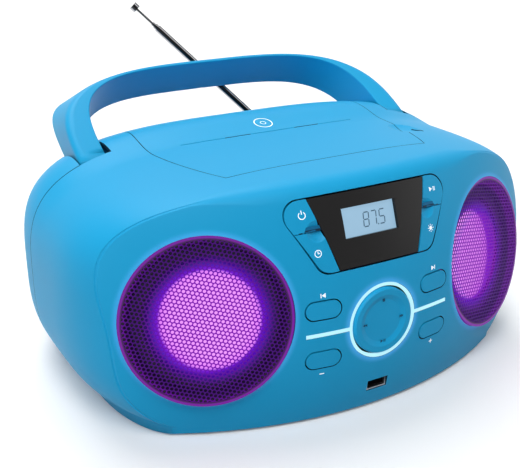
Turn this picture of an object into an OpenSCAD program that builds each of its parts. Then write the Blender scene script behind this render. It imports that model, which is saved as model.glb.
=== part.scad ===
// Portable CD and radio player: a rounded two-shell cabinet with lit speakers, a lifting disc lid,
// a swinging carry handle and a telescopic aerial. Millimetres, +Z up, front towards -Y.
// The origin lies on the floor under the middle of the cabinet.

/* [Cabinet] */
// Greatest width of the cabinet
body_w = 313; // [296:1:326]
// Depth from the widest section to the back
body_half_d = 108; // [104:1:114]
// Height of the top deck over the floor
body_top = 138; // [136:0.5:142]
// Height of the widest line of the side
section_mid = 66; // [62:1:70]
// Reach of the side curve below the widest line, as if it ran on through the floor
section_drop = 78.5; // [77:0.5:82]
// Squareness of the cross-section above its widest line
section_exp = 3.4; // [3.1:0.05:3.6]
// Squareness of the cross-section below its widest line
base_exp = 3.3; // [3.1:0.05:3.5]
// Squareness of the front half of the outline seen from above
plan_exp = 2.6; // [2.4:0.05:2.9]
// Squareness of the rear half of the outline seen from above
rear_exp = 4; // [3.6:0.05:4.4]
// Wall of the two cabinet shells
wall = 2.5; // [2:0.1:3]
// Height of the lip where the base draws in
lip_h = 8.5; // [7.5:0.5:10]
// How far the base draws in under the lip
skirt_in = 2.2; // [1.6:0.1:4]
// Height of the cabinet floor over the ground
foot_h = 1.5; // [1.2:0.1:3]
// Depth position of the joint between front and rear shell
seam_y = 35; // [33:0.5:36]
// Rise of the ridge behind the lid
ridge_rise = 8; // [6:0.5:9]
// Strip of rear shell between the deck and a handle leg
deck_side = 6.5; // [6:0.25:7]
// Depth position of the back edge of the deck
deck_back = 89; // [87:0.5:91]

/* [Fascia] */
// Set-back of the fascia's middle behind the foremost point of the plan oval
fascia_back = 4.3; // [3:0.1:6]
// Radius of the fascia seen from above
fascia_plan_r = 250; // [240:1:262]
// Radius of the fascia seen from the side
fascia_side_r = 180; // [170:1:190]
// Height where the fascia stands upright
fascia_bulge_h = 50; // [46:1:54]

/* [Speakers] */
// Sideways place of a speaker centre, as a share of the cabinet's width
speaker_share = 0.3093; // [0.304:0.001:0.313]
// Height of a speaker centre
speaker_h = 70.1; // [69:0.1:72]
// Outward turn of a speaker
speaker_yaw = 21.7; // [20:0.1:23]
// Upward tilt of a speaker
speaker_pitch = 9.2; // [7:0.1:10]
// Set-back of the flat speaker face behind the crown of the fascia
speaker_seat = 5; // [4.5:0.1:5.5]
// Radius of the lit rim round a grille, as a share of the cabinet's width
rim_share = 0.1498; // [0.144:0.0005:0.151]
// Width of the lit rim
rim_w = 2.2; // [1.5:0.1:3]
// Depth from the grille to the baffle
cup_depth = 8; // [7:0.5:10]
// Radius of the cone, as a share of the rim's radius
cone_share = 0.586; // [0.54:0.005:0.61]
// Diameter of a grille hole
mesh_hole = 3.1; // [2.6:0.1:3.3]
// Spacing of the grille holes
mesh_pitch = 4.3; // [4.1:0.1:5]
// Sheet thickness of a grille
grille_t = 0.8; // [0.6:0.1:1.2]

/* [Controls] */
// Height of the middle of the display cluster
cluster_h = 112; // [110:0.5:113]
// Half height of the display cluster, along the slope
cluster_half_h = 20.6; // [19:0.1:21]
// Half width of the cluster at its top edge
cluster_top_w = 53; // [51:0.5:54]
// Half width of the cluster at its bottom edge
cluster_low_w = 40; // [38:0.5:42]
// Corner radius of the cluster
cluster_r = 9; // [7:0.5:10]
// Half width of the display panel at its top edge
panel_top_w = 39.2; // [37:0.2:41]
// Half width of the display panel at its bottom edge
panel_low_w = 26.4; // [25:0.2:28]
// Height of the split between upper and lower cluster button, over the middle
split_v = 2.9; // [1:0.1:4]
// Height of the middle of the light ring
ring_h = 58; // [57:0.5:60]
// Mean radius of the light ring
ring_r = 21; // [20:0.1:22]
// Width of the light ring
ring_w = 2.6; // [2:0.1:3]
// Reach of the light bars from the middle
bar_reach = 48; // [46:0.5:49]
// Width of a light bar
bar_w = 2.2; // [1.8:0.1:2.6]
// Sideways place of the oval buttons, as a share of the cabinet's width
pill_share = 0.1204; // [0.118:0.001:0.123]
// Height of the upper oval buttons
pill_high = 72; // [71:0.5:74]
// Height of the lower oval buttons
pill_low = 42.7; // [41:0.5:44]
// Width of an oval button
pill_w = 20.6; // [19:0.2:22]
// Height of an oval button
pill_h = 9.8; // [9:0.2:10.4]
// Thickness of the button caps
cap_t = 3; // [2.5:0.1:3.5]
// Travel of a button
press = 1; // [0.8:0.1:1.2]
// Clear gap round a button
key_gap = 0.35; // [0.3:0.05:0.5]
// Height of the USB socket
usb_h = 16.5; // [16:0.5:20]
// Width of the USB cut-out
usb_w = 14; // [13.6:0.1:15]
// Height of the USB cut-out
usb_t = 7; // [6.6:0.1:8]

/* [Disc drive] */
// Depth position of the front edge of the lid
lid_front = -47; // [-50:0.5:-46]
// Half width of the front edge of the lid
lid_front_w = 68; // [66:0.5:70]
// Greatest half width of the lid
lid_mid_w = 84; // [82:0.5:86]
// Depth position of the lid hinge
hinge_y = 78; // [77:0.5:80]
// Depth of the hinge edge under the top of the deck
hinge_sink = 0.07; // [0.05:0.01:0.1]
// Radius of the rounded hinge edge of the lid
hinge_r = 5.5; // [5.2:0.1:5.8]
// Thickness of the lid
lid_t = 2.5; // [2:0.1:3]
// Clear gap round the lid
lid_gap = 0.5; // [0.4:0.1:0.7]
// Depth position of the disc centre
disc_y = 14; // [13:0.5:15]
// Radius of the disc well
well_r = 61.5; // [60.6:0.1:62]
// Height of the well floor
well_h = 121.5; // [121:0.5:122]
// Thickness of the well floor and of the chassis
plate_t = 2; // [1.6:0.1:2.4]
// Radius of the turntable
platter_r = 15; // [13:0.5:16]
// Radius of the spigot that centres the disc
hub_r = 7.4; // [7.2:0.05:7.45]
// Drop from the well floor to the drive chassis
chassis_drop = 15.5; // [14.5:0.5:18]

/* [Handle] */
// Backward lean of the handle at rest
handle_lean = 60; // [58:0.5:62]
// Half width inside the handle, as a share of the cabinet's width
handle_share = 0.3323; // [0.328:0.001:0.336]
// Width of a handle leg at its front face
leg_w = 17.5; // [15:0.5:18]
// How much narrower a leg is at its back face
leg_taper = 4.4; // [3:0.2:6]
// Rise inside the handle
handle_in_rise = 76; // [72:0.5:78]
// Height of the grip at its front edge
band_t = 3.2; // [2.6:0.1:4]
// Height of the grip at its back edge
grip_t = 8; // [6:0.2:8.4]
// Depth of the grip
grip_d = 29; // [26:0.5:30]
// Clear gap between a handle leg and its pocket
leg_gap = 0.6; // [0.4:0.1:0.8]
// Radius of a handle pivot
pivot_r = 3; // [2.5:0.1:3.2]

/* [Aerial] */
// Sideways place of the aerial pivot
aerial_x = 53.9; // [50:0.1:56]
// Height of the aerial pivot
aerial_h = 107; // [105.5:0.1:108]
// Set-back of the aerial pivot behind the widest section
aerial_y = 111.8; // [111.5:0.1:113]
// Lean of the aerial from upright, to the left
aerial_lean = 43.3; // [40:0.1:50]
// Backward tilt of the aerial, clear of the handle
aerial_tilt = 18; // [17.6:0.1:24]
// Length of the outer tube from the pivot
aerial_len = 114; // [108:1:122]
// Outside diameter of the outer tube
aerial_d = 5; // [4.8:0.1:5.4]
// Step in diameter from tube to tube
aerial_step = 1.05; // [1:0.01:1.1]
// How far each inner tube stands out at rest
aerial_peep = 2.4; // [1.8:0.1:2.8]
// How far the tip rod stands out at rest
tip_out = 14.5; // [10:0.5:18]

/* [Hidden] */

// Fine steps for exact round shapes
$fn = 96;
// Steps round half a cross-section and along the depth of the cabinet loft
loft_steps = 36;
front_stations = 15;
rear_stations = 9;
// Room that a cut reaches past what it cuts
over = 1;
// Fit between fixed pieces that slip into each other
slip = 0.1;
// Running clearance of pins and tubes
running = 0.06;

body_blue = [0.16, 0.61, 0.84];
glow_violet = [0.62, 0.1, 0.85];
dark_grey = [0.14, 0.13, 0.14];
board_green = [0.05, 0.35, 0.18];
steel_grey = [0.7, 0.71, 0.73];
white_clear = [0.85, 0.96, 1];

// Cabinet form
// Share of the depth at which the last rear and front sections stand
rear_end = 0.985;
front_end = 0.968;
top_half_front = 112;
top_half_back = 110;
top_exp_front = 8;
top_exp_back = 3;
ridge_start = 15;
ridge_full = 55;
skirt_slope = 1.5;
skirt_step = 1;

function smooth(t) = let (c = min(1, max(0, t))) c * c * (3 - 2 * c);
function signed_pow(v, p) = sign(v) * pow(abs(v), p);
function plan_share(y) =
    let (e = y < 0 ? plan_exp : rear_exp)
    pow(1 - pow(abs(y) / body_half_d, e), 1 / e);
function half_width(y) = body_w / 2 * plan_share(y);
function ridge(y) = ridge_rise * smooth((y - ridge_start) / (ridge_full - ridge_start));
function top_share(y) = y < 0
    ? pow(1 - pow(-y / top_half_front, top_exp_front), 1 / top_exp_front)
    : pow(1 - pow(y / top_half_back, top_exp_back), 1 / top_exp_back);
function top_half(y) = (body_top - section_mid + ridge(y)) * top_share(y);
// Height of the cabinet's outer surface over a point of the plan
function deck_z(x, y) = section_mid
    + top_half(y) * pow(1 - pow(abs(x) / half_width(y), section_exp), 1 / section_exp);

// One cross-section, drawn in by a wall: the curve from lip to lip over the top, then the base
function section(y, inset) =
    let (
        a = half_width(y) - inset,
        up = top_half(y) - inset,
        low = section_drop - inset,
        lip_t = -asin(pow((section_mid - lip_h) / low, base_exp / 2)),
        lip_x = a * pow(cos(lip_t), 2 / base_exp),
        skirt_x = lip_x - skirt_in
    )
    concat(
        [for (i = [0:loft_steps])
            let (
                t = lip_t + (180 - 2 * lip_t) * i / loft_steps,
                e = 2 / (sin(t) > 0 ? section_exp : base_exp)
            )
            [
                a * signed_pow(cos(t), e),
                section_mid + (sin(t) > 0 ? up : low) * signed_pow(sin(t), e)
            ]],
        [
            [-skirt_x, lip_h - skirt_step],
            [-skirt_x + skirt_slope, foot_h + inset],
            [skirt_x - skirt_slope, foot_h + inset],
            [skirt_x, lip_h - skirt_step]
        ]
    );

// Joins the cross-sections at the given depths into one closed solid
module loft(depths, inset) {
    ring = loft_steps + 5;
    last = len(depths) - 1;
    right = concat([loft_steps + 3, loft_steps + 4], [for (i = [0:loft_steps / 2 - 1]) i]);
    left = concat([loft_steps + 2, loft_steps + 1], [for (i = [0:loft_steps / 2 - 1]) loft_steps - i]);
    peak = loft_steps / 2;
    pairs = len(right) - 1;
    front_cap = concat(
        [for (k = [0:pairs - 1]) [left[k], left[k + 1], right[k + 1]]],
        [for (k = [0:pairs - 1]) [left[k], right[k + 1], right[k]]],
        [[left[pairs], peak, right[pairs]]]
    );
    back_cap = [for (f = front_cap) [for (i = [2:-1:0]) f[i] + last * ring]];
    sides = [for (j = [0:last - 1]) for (i = [0:ring - 1])
        let (here = j * ring, next = here + ring, n = (i + 1) % ring)
        for (f = [[here + i, here + n, next + n], [here + i, next + n, next + i]]) f];
    polyhedron(
        points = [for (y = depths) for (p = section(y, inset)) [p[0], y, p[1]]],
        faces = concat(front_cap, back_cap, sides)
    );
}

// Depths of the sections, closer together towards the ends
function stations(from, to, count) =
    let (a = asin(from / body_half_d), b = asin(to / body_half_d))
    [for (i = [0:count]) body_half_d * sin(a + (b - a) * i / count)];
front_depths = stations(-front_end * body_half_d, deck_back + over, front_stations);
rear_depths = stations(seam_y - over, rear_end * body_half_d, rear_stations);
rear_inner_depths = stations(seam_y - 4 * over, rear_end * body_half_d - wall, rear_stations);
lid_depths = stations(lid_front - 8, deck_back, 9);

// Fascia form: a barrel surface turned about an upright axis behind the cabinet
fascia_reach = body_half_d - fascia_back;
fascia_axis_y = fascia_plan_r - fascia_reach;
fascia_low = -20;
fascia_high = 170;
function fascia_radius(z) = fascia_plan_r - fascia_side_r
    + sqrt(pow(fascia_side_r, 2) - pow(z - fascia_bulge_h, 2));
function fascia_y(x, z) = fascia_axis_y - sqrt(pow(fascia_radius(z), 2) - x * x);
function fascia_yaw(x, z) = asin(x / fascia_radius(z));
function fascia_pitch(z) = asin((z - fascia_bulge_h) / fascia_side_r);

module fascia(depth) {
    translate([0, fascia_axis_y, 0])
        rotate_extrude($fn = 180)
            intersection() {
                translate([fascia_plan_r - fascia_side_r, fascia_bulge_h])
                    circle(r = fascia_side_r - depth, $fn = 240);
                translate([0, fascia_low])
                    square([fascia_plan_r + over, fascia_high - fascia_low]);
            }
}

// Sheet that follows the fascia between two depths
module fascia_layer(depth_out, depth_in) {
    difference() {
        fascia(depth_out);
        fascia(depth_in);
    }
}

// Places a shape on the fascia with its own +Z pointing out of the surface
module at_fascia(x, z) {
    translate([x, fascia_y(x, z), z])
        rotate([0, 0, fascia_yaw(x, z)])
            rotate([90 - fascia_pitch(z), 0, 0])
                children();
}

// Speaker place: +Z points out of the grille, which lies at zero
speaker_x = body_w * speaker_share;
rim_r = body_w * rim_share;
cone_r = rim_r * cone_share;
speaker_y = fascia_y(speaker_x, speaker_h) + speaker_seat;
cup_r = rim_r + slip;
cup_wall = 1.6;
baffle_t = 2.5;
baffle_hole_r = cone_r + 6.5;
module at_speaker(side) {
    translate([side * speaker_x, speaker_y, speaker_h])
        rotate([0, 0, side * speaker_yaw])
            rotate([90 - speaker_pitch, 0, 0])
                children();
}

// Cluster outlines, drawn flat with the slope upwards
module rounded_trapezoid(top_w, low_w, half_h, r) {
    hull()
        for (s = [-1, 1]) {
            translate([s * (top_w - r), half_h - r])
                circle(r = r, $fn = 32);
            translate([s * (low_w - r), r - half_h])
                circle(r = r, $fn = 32);
        }
}
function panel_edge(v) = (panel_top_w + panel_low_w) / 2
    + (panel_top_w - panel_low_w) / 2 * v / cluster_half_h;

module panel_outline(shrink) {
    polygon([
        [panel_edge(cluster_half_h) - shrink, cluster_half_h - shrink],
        [shrink - panel_edge(cluster_half_h), cluster_half_h - shrink],
        [shrink - panel_edge(-cluster_half_h), shrink - cluster_half_h],
        [panel_edge(-cluster_half_h) - shrink, shrink - cluster_half_h]
    ]);
}

// Reach of a tool that cuts or shapes a piece through the fascia: outwards, and inwards at a key or the cluster
tool_out = 6;
tool_in = 6;
cluster_in = 14;
module through(depth) {
    translate([0, 0, -depth])
        linear_extrude(depth + tool_out)
            children();
}

pill_x = body_w * pill_share;
module oval(w, h) {
    for (s = [-1, 1])
        translate([s * (w - h) / 2, 0])
            circle(d = h);
    square([w - h, h], center = true);
}

// Lid outline: a straight front, barrel sides and a straight hinge edge
lid_mid_y = 34;
lid_side_r = (pow(lid_mid_y - lid_front, 2) + pow(lid_mid_w - lid_front_w, 2))
    / (2 * (lid_mid_w - lid_front_w));
module lid_outline(grow) {
    intersection() {
        intersection_for (k = [-1, 1])
            translate([k * (lid_mid_w - lid_side_r), lid_mid_y])
                circle(r = lid_side_r + grow, $fn = 240);
        translate([-lid_mid_w - grow - over, lid_front - grow])
            square([2 * (lid_mid_w + grow + over), hinge_y - lid_front + grow]);
    }
}
// Set-in of the hinge bar from the lid's back corners
hinge_inset = 3;
hinge_h = deck_z(0, hinge_y) - hinge_r - hinge_sink;
hinge_half_w = lid_mid_w - lid_side_r
    + sqrt(pow(lid_side_r, 2) - pow(hinge_y - lid_mid_y, 2)) - hinge_inset;
module hinge_bar(r, half_w) {
    translate([-half_w, hinge_y, hinge_h])
        rotate([0, 90, 0])
            cylinder(r = r, h = 2 * half_w);
}
hinge_pin_r = 1.2;
hinge_pin_len = 7;

// Handle form, drawn in its own plane: X across, Y up the arch, Z out of the front face
handle_in_w = body_w * handle_share;
handle_out_w = handle_in_w + leg_w;
handle_in_exp = 3.3;
handle_out_exp = 3.1;
handle_back_exp = 7;
handle_back_up = 5;
handle_back_rise = handle_in_rise + handle_back_up;
handle_steps = 36;
pivot_depth = 18;
pivot_up = 10.8;
foot_gap = 0.3;
handle_foot_y = seam_y + foot_gap;
// Depth of a leg's front corner under the deck
foot_sink = 2.84;
handle_foot_h = deck_z(handle_in_w + leg_w / 2, handle_foot_y) - foot_sink;
pivot_y = handle_foot_y + pivot_up * sin(handle_lean) + pivot_depth * cos(handle_lean);
pivot_h = handle_foot_h + pivot_up * cos(handle_lean) - pivot_depth * sin(handle_lean);
leg_eye_r = pivot_depth;
// Bar along the handle pivot
pivot_bite = 8;
pivot_end = handle_in_w + pivot_bite;
module pivot_bar(r, from, length) {
    translate([from, pivot_y, pivot_h])
        rotate([0, 90, 0])
            cylinder(r = r, h = length);
}
module at_handle() {
    translate([0, handle_foot_y, handle_foot_h])
        rotate([90 - handle_lean, 0, 0])
            children();
}

// Aerial place: the tube runs along +Z from the pivot
function tube_d(k) = aerial_d - aerial_step * (k - 1);
aerial_tip_d = tube_d(4);
cap_d = 6;
cap_len = 4;
module at_fork() {
    translate([aerial_x, aerial_y, aerial_h])
        rotate([0, -aerial_lean, 0])
            children();
}
module at_aerial() {
    at_fork()
        rotate([-aerial_tilt, 0, 0])
            children();
}

// Leg pocket in the rear shell
// Room inside a pocket for the arch, which draws in above the leg
arch_room = 3;
pocket_in = handle_in_w - leg_gap - arch_room;
pocket_out = handle_out_w + leg_gap;
pocket_back = 85;
pocket_wall = 2;
pocket_low = pivot_h - leg_eye_r - leg_gap - pocket_wall;

// Battery bay behind the rear wall
bay_x = -42;
bay_w = 72;
bay_low = 14;
bay_h = 58;
bay_front = 45;
bay_wall = 2;
door_gap = 0.6;
// Door hinge: the lower edge of the door is rounded about it, and short pins hold it at both ends
rear_face = rear_end * body_half_d;
door_round = 2;
door_pin_r = 0.8;
door_pin_out = 2;
door_axis_y = rear_face - door_round;
door_axis_h = bay_low + door_gap + door_round;
module door_bar(r, reach) {
    translate([bay_x - bay_w / 2 - reach, door_axis_y, door_axis_h])
        rotate([0, 90, 0])
            cylinder(r = r, h = bay_w + 2 * reach);
}

// Everything that belongs to the front shell: all before the seam, and the deck between the handle legs
deck_half_w = handle_in_w - deck_side;
deck_corner = 70;
deck_chamfer = 14;
module front_zone() {
    translate([-body_w, -2 * body_half_d, 0])
        cube([2 * body_w, 2 * body_half_d + seam_y, 2 * body_top]);
    translate([0, 0, pocket_low])
        linear_extrude(body_top)
            polygon([
                [-deck_half_w, 0],
                [deck_half_w, 0],
                [deck_half_w, deck_corner],
                [deck_half_w - deck_chamfer, deck_back],
                [deck_chamfer - deck_half_w, deck_back],
                [-deck_half_w, deck_corner]
            ]);
}

// Raised pad under the cabinet for the rating label
label_w = 70;
label_d = 44;
label_t = 0.5;

module cluster_tool(grow) {
    at_fascia(0, cluster_h)
        through(cluster_in)
            rounded_trapezoid(cluster_top_w + grow, cluster_low_w + grow, cluster_half_h + grow, cluster_r);
}

module light_outline(grow) {
    circle(r = ring_r + ring_w / 2 + grow);
    for (s = [-1, 1])
        translate([s * (bar_reach / 2 + grow / 2), 0])
            square([bar_reach + grow, bar_w + 2 * grow], center = true);
}

module front_cabinet() {
    color(body_blue)
        difference() {
            union() {
                intersection() {
                    difference() {
                        intersection() {
                            loft(front_depths, 0);
                            fascia(0);
                        }
                        intersection() {
                            loft(front_depths, wall);
                            fascia(wall);
                        }
                    }
                    front_zone();
                }
                translate([-label_w / 2, -label_d / 2, foot_h - label_t])
                    cube([label_w, label_d, label_t + wall / 2]);
                intersection() {
                    for (s = [-1, 1])
                        at_speaker(s)
                            translate([0, 0, -cup_depth - baffle_t])
                                cylinder(r = cup_r + cup_wall, h = cup_depth + baffle_t + tool_out);
                    fascia(wall / 2);
                }
            }
            for (s = [-1, 1])
                at_speaker(s) {
                    translate([0, 0, -cup_depth])
                        cylinder(r = cup_r, h = cup_depth + 3 * tool_out);
                    translate([0, 0, speaker_back - over])
                        cylinder(r = baffle_hole_r, h = cup_depth + baffle_t);
                }
            cluster_tool(key_gap);
            at_fascia(0, ring_h)
                through(cluster_in)
                    light_outline(slip);
            for (s = [-1, 1])
                for (z = [pill_high, pill_low])
                    at_fascia(s * pill_x, z)
                        through(tool_in)
                            oval(pill_w + 2 * key_gap, pill_h + 2 * key_gap);
            at_usb()
                through(tool_in)
                    square([usb_w, usb_t], center = true);
            translate([0, 0, well_h])
                linear_extrude(body_top)
                    lid_outline(lid_gap);
            hinge_bar(hinge_r + lid_gap, hinge_half_w + hinge_inset + lid_gap);
            hinge_bar(hinge_pin_r + slip, hinge_half_w + hinge_pin_len);
            finger_scoop();
            translate([slot_x, slot_y, well_h])
                rotate(slot_turn)
                    linear_extrude(body_top)
                        oval(slot_len, slot_w);
        }
}

// Block round both leg pockets, or the hollow inside them
module leg_pockets(grow, front) {
    for (s = [-1, 1])
        translate([s > 0 ? pocket_in - grow : -pocket_out - grow, front, pocket_low + pocket_wall - grow])
            cube([pocket_out - pocket_in + 2 * grow, pocket_back + grow - front, body_top]);
}

module rear_cabinet() {
    color(body_blue)
        difference() {
            union() {
                difference() {
                    loft(rear_depths, 0);
                    loft(rear_inner_depths, wall);
                    front_zone();
                }
                intersection() {
                    loft(rear_depths, wall / 2);
                    leg_pockets(pocket_wall, seam_y);
                }
                intersection() {
                    loft(rear_inner_depths, wall + slip);
                    leg_pockets(pocket_wall, seam_y - pocket_wall);
                }
            }
            leg_pockets(0, seam_y);
            pivot_bar(pivot_r + slip, -pivot_end, 2 * pivot_end);
            translate([bay_x - bay_w / 2, bay_front + bay_wall, bay_low])
                cube([bay_w, body_half_d, bay_h]);
            door_bar(door_pin_r + running, door_pin_out);
            mains_tool(slip);
            aerial_bore(socket_r + slip, body_half_d);
        }
}

// Finger scoop: a shallow dish across the right edge of the lid, with a slot beside it in the deck
scoop_x = 79;
scoop_y = -11;
scoop_r = 11;
scoop_d = 1.9;
scoop_lean = 10;
slot_x = 89;
slot_y = -15;
slot_turn = 105;
slot_len = 10;
slot_w = 1.6;
scoop_sphere = (scoop_r * scoop_r + scoop_d * scoop_d) / (2 * scoop_d);
module finger_scoop() {
    translate([scoop_x, scoop_y, deck_z(scoop_x, scoop_y)])
        rotate([0, scoop_lean, 0])
            translate([0, 0, scoop_sphere - scoop_d])
                sphere(r = scoop_sphere);
}

// Lid: a skin of the deck with a rounded hinge edge
module lid() {
    color(body_blue)
        difference() {
            union() {
                intersection() {
                    difference() {
                        loft(lid_depths, 0);
                        loft(lid_depths, lid_t);
                    }
                    translate([0, 0, well_h])
                        linear_extrude(body_top)
                            lid_outline(0);
                }
                intersection() {
                    hinge_bar(hinge_r, hinge_half_w);
                    loft(lid_depths, 0);
                }
            }
            hinge_bar(hinge_pin_r + running, hinge_half_w + hinge_inset + over);
            finger_scoop();
        }
}

module lid_hinge_pins() {
    color(steel_grey)
        for (s = [-1, 1])
            translate([s * hinge_half_w, hinge_y, hinge_h])
                rotate([0, s * 90, 0])
                    translate([0, 0, -hinge_pin_len])
                        cylinder(r = hinge_pin_r, h = 2 * hinge_pin_len);
}

// Well: floor, ring wall and seat for the lid, hollow underneath
well_rim = 4;
well_seat = 6;
module cd_well() {
    color(body_blue)
        difference() {
            intersection() {
                translate([0, 0, well_h - plate_t])
                    linear_extrude(body_top)
                        lid_outline(well_rim);
                loft(front_depths, wall);
            }
            translate([0, 0, well_h + well_seat])
                linear_extrude(body_top)
                    lid_outline(lid_gap);
            translate([0, disc_y, well_h])
                cylinder(r = well_r, h = body_top);
            translate([0, 0, well_h - plate_t - over])
                linear_extrude(well_seat + over)
                    difference() {
                        lid_outline(well_rim - plate_t);
                        translate([0, disc_y])
                            circle(r = well_r + plate_t);
                    }
            translate([0, disc_y, 0])
                cylinder(r = hub_r, h = body_top);
            translate([-pickup_w / 2 - pickup_room, disc_y - well_r + slot_edge, 0])
                cube([pickup_w + 2 * pickup_room, well_r - lens_start + pickup_d / 2, body_top]);
            hinge_bar(hinge_r + lid_gap, hinge_half_w + hinge_inset + lid_gap);
            hinge_bar(hinge_pin_r + slip, hinge_half_w + hinge_pin_len);
        }
}

// Points of one handle edge: straight leg ends carried on by half a superellipse
function arch(w, rise, e) = concat(
    [[w, -leg_eye_r]],
    [for (i = [0:handle_steps])
        let (t = 180 * i / handle_steps)
        [w * signed_pow(cos(t), 2 / e), rise * pow(sin(t), 2 / e)]],
    [[-w, -leg_eye_r]]
);

module handle() {
    front_in = arch(handle_in_w, handle_in_rise, handle_in_exp);
    front_out = arch(handle_out_w, handle_in_rise + band_t, handle_out_exp);
    back_in = arch(handle_in_w, handle_back_rise, handle_in_exp);
    back_out = arch(handle_out_w - leg_taper, handle_back_rise + grip_t, handle_back_exp);
    last = len(front_in) - 1;
    rows = [
        for (i = [0:last])
            for (p = [[back_in[i], -grip_d], [back_out[i], -grip_d], [front_out[i], 0], [front_in[i], 0]])
                [p[0][0], p[0][1], p[1]]
    ];
    sides = [
        for (i = [0:last - 1])
            for (k = [0:3])
                let (a = 4 * i, b = a + 4, n = (k + 1) % 4)
                for (f = [[a + k, a + n, b + n], [a + k, b + n, b + k]])
                    f
    ];
    end = 4 * last;
    ends = [[0, 2, 1], [0, 3, 2], [end, end + 1, end + 2], [end, end + 2, end + 3]];
    color(body_blue)
        difference() {
            at_handle()
                polyhedron(points = rows, faces = concat(sides, ends));
            difference() {
                at_handle()
                    translate([-body_w / 2, pivot_up - body_w, -body_w / 2])
                        cube(body_w);
                pivot_bar(leg_eye_r, -body_w, 2 * body_w);
            }
            pivot_bar(pivot_r + running, -body_w, 2 * body_w);
        }
}

module handle_pivots() {
    start = pocket_in - pocket_wall;
    color(steel_grey)
        for (s = [-1, 1])
            pivot_bar(pivot_r, s > 0 ? start : -pivot_end, pivot_end - start);
}

// Speaker pieces, drawn about the speaker's own axis
ledge_w = 1.4;
grille_r = rim_r - rim_w;
module light_ring(side) {
    color(glow_violet)
        at_speaker(side)
            rotate_extrude()
                polygon([
                    [rim_r, -cup_depth],
                    [rim_r, 0],
                    [grille_r + slip, 0],
                    [grille_r + slip, -grille_t],
                    [grille_r - ledge_w, -grille_t],
                    [grille_r - ledge_w - 3, -cup_depth]
                ]);
}

module grille(side) {
    rows = floor(grille_r / (mesh_pitch * sin(60)));
    color(dark_grey)
        at_speaker(side)
            translate([0, 0, -grille_t])
                linear_extrude(grille_t)
                    difference() {
                        circle(r = grille_r);
                        for (j = [-rows:rows])
                            for (i = [-rows - 2:rows + 2])
                                let (
                                    x = (i + (j % 2 == 0 ? 0 : 0.5)) * mesh_pitch,
                                    y = j * mesh_pitch * sin(60)
                                )
                                if (norm([x, y]) < grille_r - mesh_hole / 2 - ledge_w)
                                    translate([x, y])
                                        circle(d = mesh_hole, $fn = 16);
                    }
}

frame_flange_r = baffle_hole_r + 7;
frame_t = 1.5;
basket_depth = 18;
motor_r = 17;
surround_w = 4.6;
paper_t = 0.8;
speaker_back = -cup_depth - baffle_t;
module speaker_frame(side) {
    hole_r = cone_r + 1;
    neck_r = 9;
    color(dark_grey)
        at_speaker(side)
            difference() {
                rotate_extrude()
                    polygon([
                        [frame_flange_r, speaker_back],
                        [hole_r, speaker_back],
                        [motor_r - frame_t, speaker_back - basket_depth],
                        [neck_r, speaker_back - basket_depth],
                        [neck_r, speaker_back - basket_depth - frame_t],
                        [motor_r, speaker_back - basket_depth - frame_t],
                        [hole_r + frame_t, speaker_back - frame_t],
                        [frame_flange_r, speaker_back - frame_t]
                    ]);
                for (k = [0:5])
                    rotate(60 * k + 30)
                        translate([motor_r + 1, -6, speaker_back - basket_depth + 3])
                            cube([cone_r, 12, basket_depth - 6]);
            }
}

module cone(side) {
    edge = speaker_back + paper_t;
    roll = 1.8;
    cap_r = 9;
    cap_h = 5;
    deep = 12;
    color([0.75, 0.4, 0.85])
        at_speaker(side)
            rotate_extrude()
                polygon(concat(
                    [[cone_r + surround_w, edge - paper_t], [cone_r + surround_w, edge]],
                    [for (a = [30:30:150])
                        [cone_r + surround_w / 2 * (1 + cos(a)), edge + roll * sin(a)]],
                    [[cone_r, edge], [cap_r, edge - deep]],
                    [for (a = [15:15:75]) [cap_r * cos(a), edge - deep + cap_h * sin(a)]],
                    [[0, edge - deep + cap_h], [0, edge - deep - paper_t], [cap_r, edge - deep - paper_t]],
                    [[cone_r, edge - paper_t]]
                ));
}

magnet_r = 22;
module magnet(side) {
    top = speaker_back - basket_depth - frame_t;
    plate = 3;
    ferrite = 9;
    color([0.25, 0.25, 0.27])
        at_speaker(side)
            rotate_extrude()
                polygon([
                    [0, top],
                    [motor_r, top],
                    [motor_r, top - plate],
                    [magnet_r, top - plate],
                    [magnet_r, top - plate - ferrite],
                    [motor_r, top - plate - ferrite],
                    [motor_r, top - 2 * plate - ferrite],
                    [0, top - 2 * plate - ferrite]
                ]);
}

// Display and cluster buttons
window_t = 4;
lcd_w = 35;
lcd_h = 16.4;
lcd_u = -3;
lcd_v = 3.7;
lcd_glass = 2.5;
module display_window() {
    color(dark_grey)
        difference() {
            intersection() {
                fascia_layer(0, window_t);
                at_fascia(0, cluster_h)
                    through(cluster_in)
                        panel_outline(key_gap / 2);
            }
            at_fascia(0, cluster_h)
                translate([lcd_u - lcd_w / 2, lcd_v - lcd_h / 2, -cluster_in])
                    cube([lcd_w, lcd_h, cluster_in + tool_out]);
        }
}

// Switches stand on a board, just clear of the plungers when these are pressed home
plunger_r = 2;
plunger_end = 7;
switch_gap = 0.3;
switch_r = 2.5;
switch_h = 2;
board_t = 1.6;
function dip(x, z) = fascia_radius(z) - sqrt(pow(fascia_radius(z), 2) - x * x);
high_key_u = 44;
low_key_u = 37.5;
function key_v(upper) = (split_v + (upper ? cluster_half_h : -cluster_half_h)) / 2;
display_board_depth = plunger_end + dip(high_key_u, cluster_h) + press + switch_gap + switch_h;

module lcd_module() {
    rim = 3;
    foot = 6.2;
    color([0.66, 0.83, 0.92])
        at_fascia(0, cluster_h) {
            translate([lcd_u + slip - lcd_w / 2, lcd_v - lcd_h / 2 + slip, -foot])
                cube([lcd_w - 2 * slip, lcd_h - 2 * slip, foot - lcd_glass]);
            translate([lcd_u - lcd_w / 2 - rim, lcd_v - lcd_h / 2 - rim, -display_board_depth])
                cube([lcd_w + 2 * rim, lcd_h + 2 * rim, display_board_depth - foot]);
        }
}

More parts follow.
